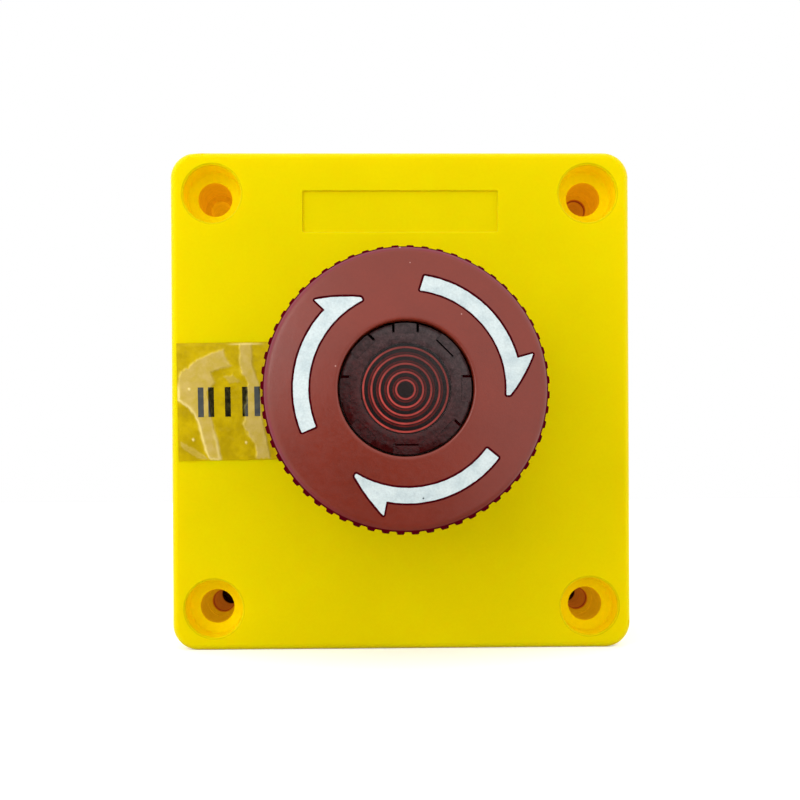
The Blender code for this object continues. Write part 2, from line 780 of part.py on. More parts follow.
def make_mushroom_head():
    body = new_mesh()
    add_turned(body, head_profile(), KNURL_TEETH)
    head = piece("mushroom_head", body, RED, 0.42)

    knurl = new_mesh()
    add_knurl(knurl, HEAD_BOTTOM + KNURL_BOTTOM_GAP, DOME_TOP - KNURL_TOP_GAP)
    combine(head, guide("head_knurl", knurl), "UNION")

    pockets = new_mesh()
    limit = new_mesh()
    for index in range(ARROW_COUNT):
        turn = 360 / ARROW_COUNT * index
        add_prism(pockets, arrow_outline(turn, ARROW_GAP), *ARROW_LAYER)
    inner, outer = ARROW_LAYER_SPAN
    profile = list(dome_points(inner, outer, 4, -ARROW_DEPTH))
    profile += [(outer, ARROW_LAYER[1] + PAST), (inner, ARROW_LAYER[1] + PAST)]
    add_turned(limit, profile, KNURL_TEETH)
    pockets_guide = guide("arrow_pockets", pockets)
    combine(pockets_guide, guide("arrow_pockets_limit", limit), "INTERSECT")
    combine(head, pockets_guide, "DIFFERENCE")


def make_arrow_inlays():
    """White inlays that lie just below the dome, in the head's arrow pockets."""
    inner, outer = ARROW_LAYER_SPAN
    profile = list(dome_points(inner, outer, 4, -ARROW_DEPTH + ARROW_GAP))
    profile += list(dome_points(outer, inner, 4, -ARROW_GAP))
    layer = new_mesh()
    add_turned(layer, profile, KNURL_TEETH)
    layer_guide = guide("arrow_layer", layer)
    for index in range(ARROW_COUNT):
        arrow = new_mesh()
        add_prism(arrow, arrow_outline(360 / ARROW_COUNT * index, 0), *ARROW_LAYER)
        inlay = piece(f"arrow_inlay_{index + 1}", arrow, WHITE, 0.5)
        combine(inlay, layer_guide, "INTERSECT")


def make_lens():
    """A smoked red cap with ridges under its face and tool pockets round its rim."""
    profile = [(0, LENS_UNDERSIDE - LENS_RING_HEIGHT)]
    for index in range(LENS_RING_COUNT):
        middle = LENS_RING_PITCH * (index + 0.5)
        profile.append((middle, LENS_UNDERSIDE))
        profile.append((middle + LENS_RING_PITCH / 2, LENS_UNDERSIDE - LENS_RING_HEIGHT))
    profile += [
        (profile[-1][0] + LENS_RING_RUNOUT, LENS_UNDERSIDE),
        (LENS_SKIRT_RADIUS, LENS_UNDERSIDE),
        (LENS_SKIRT_RADIUS, LENS_BOTTOM),
        (LENS_RADIUS, LENS_BOTTOM),
        (LENS_RADIUS, LENS_TOP - LENS_EDGE),
        (LENS_RADIUS - LENS_EDGE, LENS_TOP),
        (0, LENS_TOP),
    ]
    cap = new_mesh()
    add_turned(cap, profile, MEDIUM)
    lens = piece("lens", cap, SMOKED_RED, 0.15)

    pockets = new_mesh()
    for index in range(LENS_POCKET_COUNT):
        middle = 360 / LENS_POCKET_COUNT * index
        half = LENS_POCKET_ANGLE / 2
        inner = LENS_RADIUS - LENS_POCKET_LENGTH
        outer = LENS_RADIUS + PAST
        outline = list(arc((0, 0), outer, middle - half, middle + half, 4))
        outline += list(arc((0, 0), inner, middle + half, middle - half, 4))
        add_prism(pockets, outline, LENS_TOP - LENS_POCKET_DEPTH, LENS_TOP + PAST)
    combine(lens, guide("lens_pockets", pockets), "DIFFERENCE")


# ---------------------------------------------------------------- operator


def make_plunger():
    """The hollow shaft that carries the head; the lamp stands inside it."""
    groove_low, groove_high = (HEAD_LEDGE + height for height in PLUNGER_GROOVE)
    top = LENS_BOTTOM - PLUNGER_TOP_GAP
    profile = [
        (PLUNGER_BORE, FOOT_TOP + TOUCH_GAP),
        (PLUNGER_RADIUS, FOOT_TOP + TOUCH_GAP),
        (PLUNGER_RADIUS, FLANGE_BOTTOM),
        (FLANGE_RADIUS, FLANGE_BOTTOM),
        (FLANGE_RADIUS, FLANGE_TOP),
        (PLUNGER_NECK_RADIUS, FLANGE_TOP),
        (PLUNGER_NECK_RADIUS, groove_low),
        (PLUNGER_GROOVE_RADIUS, groove_low),
        (PLUNGER_GROOVE_RADIUS, groove_high),
        (PLUNGER_NECK_RADIUS, groove_high),
        (PLUNGER_NECK_RADIUS, top),
        (PLUNGER_BORE, top),
    ]
    shaft = new_mesh()
    add_turned(shaft, profile, FINE)
    plunger = piece("plunger", shaft, NYLON, 0.5)

    notches = new_mesh()
    middle = CLIP_HEIGHT + PUSH_TRAVEL
    for side in (-1, 1):
        xs = sorted((side * (PLUNGER_RADIUS - NOTCH_DEPTH), side * (PLUNGER_RADIUS + PAST)))
        add_box(
            notches,
            (xs[0], -NOTCH_HALF_LENGTH, middle - NOTCH_HALF_WIDTH),
            (xs[1], NOTCH_HALF_LENGTH, middle + NOTCH_HALF_WIDTH),
        )
    combine(plunger, guide("plunger_latch_notches", notches), "DIFFERENCE")

    ring = new_mesh()
    inner = PLUNGER_GROOVE_RADIUS + CIRCLIP_CLEARANCE
    outer = LENS_OPENING_RADIUS - CIRCLIP_OUTER_GAP
    start, end = 90 + CIRCLIP_OPENING, 450 - CIRCLIP_OPENING
    outline = list(arc((0, 0), outer, start, end, 32))
    outline += list(arc((0, 0), inner, end, start, 32))
    add_prism(ring, outline, groove_low + CIRCLIP_CLEARANCE, groove_high - CIRCLIP_CLEARANCE)
    piece("head_circlip", ring, STEEL, 0.3, 1.0)


def make_operator_body():
    bore = PLUNGER_RADIUS + RUNNING_CLEARANCE
    profile = [
        (bore, TUBE_END),
        (TUBE_RADIUS - TUBE_EDGE, TUBE_END),
        (TUBE_RADIUS, TUBE_END + TUBE_EDGE),
        (TUBE_RADIUS, GASKET_TOP),
        (COLLAR_RADIUS, GASKET_TOP),
        (COLLAR_RADIUS, COLLAR_HEIGHT - 1.5 * MM),
        (COLLAR_RADIUS - 0.6 * MM, COLLAR_HEIGHT - 0.3 * MM),
        (COLLAR_RADIUS - 1.2 * MM, COLLAR_HEIGHT),
        (NECK_RADIUS, COLLAR_HEIGHT + 0.3 * MM),
        (NECK_RADIUS, NECK_TOP - NECK_EDGE),
        (NECK_RADIUS - NECK_EDGE, NECK_TOP),
        (CHAMBER_RADIUS, NECK_TOP),
        (CHAMBER_RADIUS, CHAMBER_FLOOR),
        (SEAL_POCKET_RADIUS, CHAMBER_FLOOR),
        (SEAL_POCKET_RADIUS, SEAL_POCKET_FLOOR),
        (bore, SEAL_POCKET_FLOOR),
    ]
    tube = new_mesh()
    add_turned(tube, profile, FINE)
    body = piece("operator_body", tube, BLACK, 0.45)

    slots = new_mesh()
    half_width = CLIP_WIRE + CLIP_SLOT_ROOM
    for side in (-1, 1):
        xs = sorted((side * (bore - PAST / 2), side * (TUBE_RADIUS + PAST)))
        add_box(
            slots,
            (xs[0], -CLIP_SLOT_HALF_LENGTH, CLIP_HEIGHT - half_width),
            (xs[1], CLIP_SLOT_HALF_LENGTH, CLIP_HEIGHT + half_width),
        )
    combine(body, guide("body_clip_slots", slots), "DIFFERENCE")

    seal = new_mesh()
    section = list(arc((SEAL_RADIUS, SEAL_HEIGHT), SEAL_WIRE, 0, 315, 7))
    add_turned(seal, section, 32)
    piece("shaft_seal", seal, RUBBER, 0.7)

    washer = new_mesh()
    low = CHAMBER_FLOOR + STACK_GAP
    add_ring(washer, *SPRING_WASHER, low, low + SPRING_WASHER_THICKNESS, MEDIUM)
    piece("spring_washer", washer, STEEL, 0.35, 1.0)


def make_return_spring():
    washer_top = CHAMBER_FLOOR + STACK_GAP + SPRING_WASHER_THICKNESS
    low = washer_top + STACK_GAP + RETURN_SPRING_WIRE
    high = FLANGE_BOTTOM - STACK_GAP - RETURN_SPRING_WIRE
    spring = new_mesh()
    add_swept_wire(spring, coil(RETURN_SPRING_RADIUS, low, high, 5.5, 16), RETURN_SPRING_WIRE, 6)
    piece("return_spring", spring, STEEL, 0.3, 1.0)


def make_latch_clip():
    """A bent wire whose two straight legs grip the plunger through the body's slots."""
    bow = math.hypot(CLIP_LEG, CLIP_BEND)
    start = math.degrees(math.atan2(CLIP_BEND, CLIP_LEG))
    path = [(CLIP_LEG, -CLIP_LEG_END, CLIP_HEIGHT), (CLIP_LEG, 0, CLIP_HEIGHT)]
    path += [(x, y, CLIP_HEIGHT) for x, y in arc((0, 0), bow, start, 180 - start, 12)]
    path += [(-CLIP_LEG, 0, CLIP_HEIGHT), (-CLIP_LEG, -CLIP_LEG_END, CLIP_HEIGHT)]
    wire = new_mesh()
    add_swept_wire(wire, path, CLIP_WIRE, 8)
    piece("latch_clip", wire, STEEL, 0.3, 1.0)


def make_panel_fixings():
    """What clamps the operator to the panel, from its front to its back."""
    gasket = new_mesh()
    add_ring(gasket, *GASKET_RING, STACK_GAP, GASKET_TOP - STACK_GAP, MEDIUM)
    piece("panel_gasket", gasket, RUBBER, 0.8)

    washer = new_mesh()
    washer_front = -PANEL_THICKNESS - STACK_GAP
    washer_back = washer_front - WASHER_THICKNESS
    add_ring(washer, *WASHER_RING, washer_back, washer_front, MEDIUM)
    piece("locating_washer", washer, STEEL, 0.35, 1.0)

    nut = new_mesh()
    nut_front = washer_back - STACK_GAP
    nut_back = nut_front - NUT_HEIGHT
    add_prism(nut, list(arc((0, 0), NUT_RADIUS, 0, 300, 5)), nut_back, nut_front)
    lock_nut = piece("lock_nut", nut, BLACK, 0.5)
    bore = new_mesh()
    add_cylinder(bore, TUBE_RADIUS + RUNNING_CLEARANCE, nut_back - PAST, nut_front + PAST, FINE)
    combine(lock_nut, guide("lock_nut_bore", bore), "DIFFERENCE")


# ---------------------------------------------------------------- contact side


def add_slotted_screw(screw_name, centre, head, head_back, radius, shank_end):
    """A cheese-head screw whose slot faces the back; head is its radius and height."""
    head_radius, head_height = head
    screw = new_mesh()
    profile = [
        (0, head_back),
        (head_radius - SCREW_EDGE, head_back),
        (head_radius, head_back + SCREW_EDGE),
        (head_radius, head_back + head_height),
        (radius, head_back + head_height),
        (radius, shank_end),
        (0, shank_end),
    ]
    add_turned(screw, profile, TINY, centre)
    made = piece(screw_name, screw, STEEL, 0.3, 1.0)
    slot = new_mesh()
    x, y = centre
    add_box(
        slot,
        (x - head_radius - PAST, y - SCREW_SLOT_HALF, head_back - PAST),
        (x + head_radius + PAST, y + SCREW_SLOT_HALF, head_back + SCREW_SLOT_DEPTH * head_height),
    )
    combine(made, guide(f"{screw_name}_slot", slot), "DIFFERENCE")


def make_contact_carrier():
    """The plate that clips on to the operator's tail and holds the three blocks."""
    half_x, half_y = CARRIER_HALF_SIZE
    plate = new_mesh()
    outline = rounded_rectangle(half_x, half_y, CARRIER_CORNER, 3)
    add_prism(plate, outline, CARRIER_BACK, CARRIER_FRONT)
    carrier = piece("contact_carrier", plate, BLACK, 0.5)

    collar = new_mesh()
    add_cylinder(
        collar, CARRIER_COLLAR_RADIUS, CARRIER_BACK + PAST, CARRIER_COLLAR_TOP, MEDIUM
    )
    combine(carrier, guide("carrier_collar", collar), "UNION")

    openings = new_mesh()
    snug = TUBE_RADIUS + CARRIER_GRIP
    step = TUBE_END - CARRIER_GRIP
    profile = [
        (0, CARRIER_BACK - PAST),
        (CARRIER_BORE, CARRIER_BACK - PAST),
        (CARRIER_BORE, step),
        (snug, step),
        (snug, CARRIER_COLLAR_TOP + PAST),
        (0, CARRIER_COLLAR_TOP + PAST),
    ]
    add_turned(openings, profile, MEDIUM)
    combine(carrier, guide("carrier_bore", openings), "DIFFERENCE")

    slots = new_mesh()
    reach = FOOT_REACH + FOOT_SLOT_END
    half = FOOT_ARM_HALF + FOOT_SLOT_SIDE
    back, front = CARRIER_BACK - PAST, CARRIER_FRONT + PAST
    add_box(slots, (-reach, -half, back), (reach, half, step))
    for sign in (-1, 1):
        centre = (sign * CARRIER_SCREW[0], sign * CARRIER_SCREW[1])
        add_cylinder(slots, CARRIER_SCREW_HOLE, back, front, SMALL, centre)
    combine(carrier, guide("carrier_slots", slots), "DIFFERENCE")

    head_back = CARRIER_BACK - STACK_GAP - CARRIER_SCREW_HEAD[1]
    tip = -PANEL_THICKNESS - CARRIER_SCREW_TIP_GAP
    for index, sign in enumerate((1, -1)):
        centre = (sign * CARRIER_SCREW[0], sign * CARRIER_SCREW[1])
        name = f"carrier_screw_{index + 1}"
        add_slotted_screw(
            name, centre, CARRIER_SCREW_HEAD, head_back, CARRIER_SCREW_SHANK, tip
        )


def make_push_foot():
    """The cross-bar that hands the head's push on to the contact blocks."""
    bottom = FOOT_TOP - FOOT_THICKNESS
    bar = new_mesh()
    outline = rounded_rectangle(FOOT_REACH, FOOT_ARM_HALF, FOOT_CORNER, 3)
    add_prism(bar, outline, bottom, FOOT_TOP)
    foot = piece("push_foot", bar, NYLON, 0.5)
    ring = new_mesh()
    radius = PLUNGER_RADIUS - RUNNING_CLEARANCE
    add_cylinder(ring, radius, bottom + FOOT_RING_STEP, FOOT_TOP - FOOT_RING_STEP, MEDIUM)
    combine(foot, guide("foot_ring", ring), "UNION")
    hole = new_mesh()
    add_cylinder(
        hole, PLUNGER_BORE + RUNNING_CLEARANCE, bottom - PAST, FOOT_TOP + PAST, MEDIUM
    )
    combine(foot, guide("foot_hole", hole), "DIFFERENCE")


def make_block_housing(name, side, colour):
    """One contact block's shell, open on its outer side, and the cover that shuts it."""
    outer_x = side * BLOCK_OUTER
    inner_x = side * BLOCK_INNER
    height = BLOCK_HALF_HEIGHT
    shell = new_mesh()
    xs = sorted((inner_x, outer_x))
    add_box(shell, (xs[0], -height, BLOCK_BACK), (xs[1], height, BLOCK_FRONT))
    housing = piece(f"{name}_housing", shell, colour, 0.45)

    cavity = new_mesh()
    xs = sorted((inner_x + side * BLOCK_INNER_WALL, outer_x + side * PAST))
    inside = height - BLOCK_WALL
    back = BLOCK_BACK + BLOCK_WALL
    front = BLOCK_FRONT - BLOCK_WALL
    add_box(cavity, (xs[0], -inside, back), (xs[1], inside, front))
    combine(housing, guide(f"{name}_cavity", cavity), "DIFFERENCE")

    openings = new_mesh()
    centre_x = side * CONTACT_X
    half = STEM_HOLE_HALF
    add_box(
        openings,
        (centre_x - half, -half, front - PAST / 2),
        (centre_x + half, half, BLOCK_FRONT + PAST),
    )
    for sign in (-1, 1):
        centre = (centre_x, sign * TERMINAL_Y)
        low, high = BLOCK_BACK - PAST, back + PAST / 2
        add_cylinder(openings, SCREW_ACCESS_RADIUS, low, high, SMALL, centre)
    combine(housing, guide(f"{name}_openings", openings), "DIFFERENCE")

    lid = new_mesh()
    gap = STACK_GAP
    xs = sorted(outer_x - side * inset for inset in BLOCK_LID)
    add_box(lid, (xs[0], gap - inside, back + gap), (xs[1], inside - gap, front - gap))
    piece(f"{name}_cover", lid, colour, 0.5)


def make_contact_set(name, side, arm_top, rivet_side, colour):
    """The working parts of a block: plunger, bridge, spring, terminals and screws.

    rivet_side is 1 where the bridge's rivets face forward, and -1 where they face back.
    """
    centre_x = side * CONTACT_X
    tip = FOOT_TOP - FOOT_THICKNESS - TOUCH_GAP
    body_front = BLOCK_FRONT - BLOCK_WALL - SLIDER_TOP_GAP
    body_back = BRIDGE_HEIGHT - SLIDER_BACK

    stem = new_mesh()
    half = STEM_HALF
    add_box(stem, (centre_x - half, -half, body_front - PAST), (centre_x + half, half, tip))
    plunger = piece(f"{name}_plunger", stem, colour, 0.4)
    block = new_mesh()
    half_x, half_y = SLIDER_HALF
    add_box(
        block,
        (centre_x - half_x, -half_y, body_back),
        (centre_x + half_x, half_y, body_front),
    )
    combine(plunger, guide(f"{name}_plunger_body", block), "UNION")
    spigot = new_mesh()
    low, high = body_back - SPIGOT_LENGTH, body_back + PAST
    add_cylinder(spigot, SPIGOT_RADIUS, low, high, TINY, (centre_x, 0))
    combine(plunger, guide(f"{name}_plunger_spigot", spigot), "UNION")
    window = new_mesh()
    room = BRIDGE_THICKNESS / 2 + BRIDGE_ROOM
    half_window = BRIDGE_HALF_WIDTH + BRIDGE_ROOM
    add_box(
        window,
        (centre_x - half_window, -half_y - PAST, BRIDGE_HEIGHT - room),
        (centre_x + half_window, half_y + PAST, BRIDGE_HEIGHT + room),
    )
    combine(plunger, guide(f"{name}_plunger_window", window), "DIFFERENCE")

    strip = new_mesh()
    face = BRIDGE_THICKNESS / 2
    add_box(
        strip,
        (centre_x - BRIDGE_HALF_WIDTH, -BRIDGE_HALF_LENGTH, BRIDGE_HEIGHT - face),
        (centre_x + BRIDGE_HALF_WIDTH, BRIDGE_HALF_LENGTH, BRIDGE_HEIGHT + face),
    )
    bridge = piece(f"{name}_bridge", strip, BRASS, 0.3, 1.0)
    rivets = new_mesh()
    ends = sorted((BRIDGE_HEIGHT, BRIDGE_HEIGHT + rivet_side * (face + RIVET_HEIGHT)))
    for sign in (-1, 1):
        add_cylinder(rivets, RIVET_RADIUS, *ends, TINY, (centre_x, sign * RIVET_Y))
    combine(bridge, guide(f"{name}_bridge_rivets", rivets), "UNION")

    wire = BLOCK_SPRING_WIRE
    low = BLOCK_BACK + BLOCK_WALL + wire + STACK_GAP
    high = body_back - wire - STACK_GAP
    spring = new_mesh()
    path = coil(BLOCK_SPRING_RADIUS, low, high, 6, 10, (centre_x, 0))
    add_swept_wire(spring, path, wire, 5)
    piece(f"{name}_spring", spring, STEEL, 0.3, 1.0)

    for index, sign in enumerate((1, -1)):
        shank = (TERMINAL_SCREW_SHANK, arm_top + TERMINAL_SCREW_REACH)
        ends = sorted(sign * end for end in TERMINAL_ENDS)
        xs = (centre_x - TERMINAL_HALF_WIDTH, centre_x + TERMINAL_HALF_WIDTH)
        centre = (centre_x, sign * TERMINAL_Y)
        make_terminal(name, index + 1, xs, ends, arm_top, centre, shank)


def make_terminal(name, number, xs, ys, top, centre, shank):
    """A drilled terminal plate and its screw; shank is the screw's radius and its tip."""
    plate = new_mesh()
    back = top - TERMINAL_THICKNESS
    add_box(plate, (xs[0], ys[0], back), (xs[1], ys[1], top))
    terminal = piece(f"{name}_terminal_{number}", plate, BRASS, 0.3, 1.0)
    hole = new_mesh()
    add_cylinder(hole, TERMINAL_HOLE, back - PAST, top + PAST, TINY, centre)
    combine(terminal, guide(f"{name}_terminal_{number}_hole", hole), "DIFFERENCE")
    head_back = back - STACK_GAP - TERMINAL_SCREW_HEAD[1]
    screw_name = f"{name}_terminal_screw_{number}"
    add_slotted_screw(screw_name, centre, TERMINAL_SCREW_HEAD, head_back, *shank)


def make_contact_blocks():
    """The closed contact on the left opens when pushed; the open one on the right closes."""
    face = BRIDGE_THICKNESS / 2 + RIVET_HEIGHT + TOUCH_GAP
    closed_arm_top = BRIDGE_HEIGHT + face + TERMINAL_THICKNESS
    open_arm_top = BRIDGE_HEIGHT - PUSH_TRAVEL - face
    make_block_housing("nc", -1, RED_BLOCK)
    make_contact_set("nc", -1, closed_arm_top, 1, RED_SLIDER)
    make_block_housing("no", 1, GREEN_BLOCK)
    make_contact_set("no", 1, open_arm_top, -1, GREEN_SLIDER)


def make_lamp():
    """The lamp's own block, with its two terminals, and the holder and lamp in front."""
    half_x = BLOCK_INNER - LAMP_BLOCK_GAP
    height = BLOCK_HALF_HEIGHT
    box = new_mesh()
    add_box(box, (-half_x, -height, BLOCK_BACK), (half_x, height, BLOCK_FRONT))
    block = piece("lamp_block", box, BLACK, 0.5)
    wells = new_mesh()
    screw_holes = new_mesh()
    half = LAMP_WELL_HALF_WIDTH
    radius, end = LAMP_SCREW_HOLE
    for sign in (-1, 1):
        ys = sorted(sign * edge for edge in LAMP_WELL_ENDS)
        add_box(wells, (-half, ys[0], BLOCK_BACK - PAST), (half, ys[1], LAMP_WELL_FLOOR))
        centre = (0, sign * LAMP_TERMINAL_Y)
        add_cylinder(screw_holes, radius, LAMP_WELL_FLOOR - PAST, end, SMALL, centre)
    combine(block, guide("lamp_block_wells", wells), "DIFFERENCE")
    combine(block, guide("lamp_block_screw_holes", screw_holes), "DIFFERENCE")

    xs = (-LAMP_TERMINAL_HALF_WIDTH, LAMP_TERMINAL_HALF_WIDTH)
    for index, sign in enumerate((1, -1)):
        ends = sorted(sign * end for end in LAMP_TERMINAL_ENDS)
        centre = (0, sign * LAMP_TERMINAL_Y)
        top = LAMP_WELL_FLOOR - STACK_GAP
        make_terminal("lamp", index + 1, xs, ends, top, centre, LAMP_SCREW_SHANK)

    holder_bottom = BLOCK_FRONT + STACK_GAP
    bore = LAMP_RADIUS + RUNNING_CLEARANCE
    floor = holder_bottom + BLOCK_WALL
    holder = new_mesh()
    profile = [
        (0, holder_bottom),
        (LAMP_HOLDER_RADIUS, holder_bottom),
        (LAMP_HOLDER_RADIUS, LAMP_HOLDER_TOP),
        (bore, LAMP_HOLDER_TOP),
        (bore, floor),
        (0, floor),
    ]
    add_turned(holder, profile, COARSE)
    piece("lamp_holder", holder, BLACK, 0.5)

    base = new_mesh()
    low = floor + STACK_GAP
    tip_inner, tip_outer = LAMP_TIP
    profile = [
        (0, low),
        (tip_inner, low),
        (tip_outer, low + 1.1 * MM),
        (LAMP_RADIUS - 0.6 * MM, low + 1.5 * MM),
        (LAMP_RADIUS, low + 2.1 * MM),
        (LAMP_RADIUS, LAMP_SPLIT),
        (0, LAMP_SPLIT),
    ]
    add_turned(base, profile, COARSE)
    piece("lamp_base", base, BRASS, 0.3, 1.0)

    bulb = new_mesh()
    low = LAMP_SPLIT + STACK_GAP / 2
    profile = [(0, low), (LAMP_RADIUS, low)]
    profile += arc((0, LAMP_TOP - LAMP_RADIUS), LAMP_RADIUS, 0, 90, 5)
    profile[-1] = (0, profile[-1][1])
    add_turned(bulb, profile, COARSE)
    piece("lamp_bulb", bulb, DIFFUSER, 0.3)


def build():
    clear_scene()
    make_axis()
    make_front_cover()
    make_rear_box()
    make_cover_gasket()
    make_stop_label()
    make_mushroom_head()
    make_arrow_inlays()
    make_lens()
    make_plunger()
    make_operator_body()
    make_return_spring()
    make_latch_clip()
    make_panel_fixings()
    make_contact_carrier()
    make_push_foot()
    make_contact_blocks()
    make_lamp()


build()
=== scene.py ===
"""The emergency stop station's visual model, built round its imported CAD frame.

Pieces are drawn in the panel's own axes and in millimetres: x to the right, y up and z
straight out of the panel, from the point where the head's axis meets the panel's face.
PANEL_TO_WORLD turns that into the frame's metres.
"""

import json
import math
from collections import namedtuple

import bmesh
import bpy
import numpy as np
from mathutils import Matrix, Vector, noise


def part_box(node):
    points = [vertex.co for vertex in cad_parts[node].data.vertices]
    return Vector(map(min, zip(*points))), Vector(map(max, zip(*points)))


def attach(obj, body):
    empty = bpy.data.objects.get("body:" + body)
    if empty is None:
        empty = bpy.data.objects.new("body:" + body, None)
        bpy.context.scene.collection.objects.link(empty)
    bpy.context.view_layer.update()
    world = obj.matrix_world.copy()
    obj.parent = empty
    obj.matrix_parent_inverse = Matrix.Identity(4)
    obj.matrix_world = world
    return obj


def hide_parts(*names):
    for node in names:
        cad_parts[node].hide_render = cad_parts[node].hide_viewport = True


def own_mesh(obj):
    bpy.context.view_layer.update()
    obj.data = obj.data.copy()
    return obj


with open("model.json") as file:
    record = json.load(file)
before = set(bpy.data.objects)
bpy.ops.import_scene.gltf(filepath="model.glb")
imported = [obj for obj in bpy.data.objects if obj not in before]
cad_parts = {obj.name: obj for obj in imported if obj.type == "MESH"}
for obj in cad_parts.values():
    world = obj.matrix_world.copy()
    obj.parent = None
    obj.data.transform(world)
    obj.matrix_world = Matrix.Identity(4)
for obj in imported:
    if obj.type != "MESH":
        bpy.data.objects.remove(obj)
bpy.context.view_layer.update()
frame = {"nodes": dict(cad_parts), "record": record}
noise.seed_set(1)           # noise_vector's offsets would come from the clock

# ------------------------------------------------------------------ the frame's places

MILLIMETRES = 1000
PANEL_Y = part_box("front_cover")[0].y
PANEL_TO_WORLD = (
    Matrix.Translation((0, PANEL_Y, 0))
    @ Matrix.Rotation(math.radians(90), 4, "X")
    @ Matrix.Scale(1 / MILLIMETRES, 4)
)


def extent(node):
    """A CAD node's lowest and highest corner, in the panel's axes and millimetres."""
    to_panel = PANEL_TO_WORLD.inverted()
    a, b = (to_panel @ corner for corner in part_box(node))
    return Vector(map(min, a, b)), Vector(map(max, a, b))


COVER_LOW, COVER_HIGH = extent("front_cover")
REAR_LOW = extent("rear_box")[0]
HEAD_LOW, HEAD_HIGH = extent("mushroom_head")
LENS_LOW, LENS_HIGH = extent("lens")
FILM_LOW, FILM_HIGH = extent("stop_label")
COLLAR_LOW, COLLAR_HIGH = extent("operator_body")
HALF_X, HALF_Y = COVER_HIGH.x, COVER_HIGH.y
HEAD_RADIUS = HEAD_HIGH.x

# ------------------------------------------------------------------ sizes, in millimetres

# Box
CORNER_RADIUS = 4.0
FRONT_ROUND = 1.0
BACK_ROUND = 1.0
PARTING_ROUND = 0.25
SEAM = 0.2
WALL = 2.5
PANEL_THICKNESS = 3.0
HOLE_X = 29.5
HOLE_Y = 32.5
COUNTERBORE_RADIUS = 4.5
COUNTERBORE_DEPTH = 4.6
BORE_RADIUS = 2.65
PILOT_RADIUS = 1.675
PILOT_DEPTH = 18.0
POST_END = -14.0
PANEL_HOLE_RADIUS = 11.2
RECESS_HALF = (15.35, 3.25)
RECESS_Y = 29.7
RECESS_DEPTH = 0.4

# Head
HEAD_BORE = 8.05
HUB_RADIUS = 10.5
SKIRT_INNER = 17.3
TEETH = 60
TOOTH_HEIGHT = 0.41
TOOTH_TURN = math.radians(-2.2)
DOME_RADIUS = 80.0
DOME_TOP = 30.7
EDGE_ROUND = 1.5
OPENING_RADIUS = 9.25
LENS_LEDGE = 24.5
TEETH_TOP = 25.7
TEETH_FADE = 0.5
ARROW_INNER = 13.42
ARROW_OUTER = 15.5
ARROW_OFFSET = Vector((0.22, -0.07))
ARROW_GROOVE = 0.29
ARROW_DEPTH = 0.45

# One hand-painted arrow: where it starts and how much that end slants, where its barb and its
# tip are (all in degrees clockwise), the barb's radius, how far its front edge bows out and
# how wide its blunt tip is.
Arrow = namedtuple("Arrow", "start slant barb tip reach bow blunt")
ARROWS = (
    Arrow(start=7.4, slant=1.3, barb=74.5, tip=93.8, reach=17.8, bow=0.26, blunt=0.50),
    Arrow(start=7.0, slant=0.2, barb=71.0, tip=91.6, reach=17.5, bow=0.20, blunt=0.42),
    Arrow(start=7.8, slant=0.0, barb=74.0, tip=93.3, reach=17.5, bow=0.22, blunt=0.45),
)

# Lens. Each of its rim pockets has its own narrow, deep slots: at the side clockwise from it
# (-1), at the other side (1), or along its inner end.
LENS_RADIUS = 8.95
RING_COUNT = 5
RING_PITCH = 1.13
RING_FIRST = 1.3
WINDOW_RADIUS = 6.15
LENS_BORE = 7.75
POCKETS = 8
POCKET_HALF_WIDTH = 1.78
POCKET_LENGTH = 1.36
POCKET_DEPTH = 0.16
POCKET_SLOT_WIDTH = 0.30
POCKET_SLOT_DEPTH = 0.9
POCKET_SLOTS = ((1,), ("inner",), (-1, 1), (-1,), (-1,), (), ("inner",), (1,))

# Label film. Its bars are in its own axes: right and down from its top left corner.
FILM_TILT = 0.8
FILM_STEP = 0.14
FILM_THICKNESS = 0.07
FILM_LIFT = 0.06
FILM_EDGE_LIFT = 0.035
BARS = ((3.2, 4.1), (4.8, 5.7), (7.4, 8.3), (10.1, 11.0), (12.0, 12.9))
BAR_SPAN = (6.95, 11.6)

# Operator
TUBE_RADIUS = 10.95
TUBE_BORE = 8.5
NECK_RADIUS = 12.6
COLLAR_RADIUS = 14.75
COLLAR_GRIPS = 48

# Springs
COIL_STEPS = 28
COIL_SIDES = 10
DEAD_TURN = 0.9

# ------------------------------------------------------------------ outlines


def arc(centre, radius, start, end, steps):
    """Points of an arc from start to end, in degrees, both ends included."""
    points = []
    for i in range(steps + 1):
        angle = math.radians(start + (end - start) * i / steps)
        points.append(
            (centre[0] + radius * math.cos(angle), centre[1] + radius * math.sin(angle))
        )
    return points


def rounded_outline(half_x, half_y, radius, steps=14):
    points = []
    for sign_x, sign_y, start in ((1, 1, 0), (-1, 1, 90), (-1, -1, 180), (1, -1, 270)):
        centre = (sign_x * (half_x - radius), sign_y * (half_y - radius))
        points += arc(centre, radius, start, start + 90, steps)
    return points


def box_ring(inset, height):
    """The box's outline, moved inwards all round, at one height."""
    outline = rounded_outline(HALF_X - inset, HALF_Y - inset, max(CORNER_RADIUS - inset, 1.0))
    return [(x, y, height) for x, y in outline]


def edge_steps(size, steps=6):
    """(inset, rise) pairs of a quarter round that leaves a wall and meets a face."""
    for i in range(steps + 1):
        angle = math.pi / 2 * i / steps
        yield size * (1 - math.cos(angle)), size * math.sin(angle)


def clockwise(radius, angle):
    """The point at this radius, at an angle in degrees clockwise from 12 o'clock."""
    turn = math.radians(angle)
    return radius * math.sin(turn), radius * math.cos(turn)


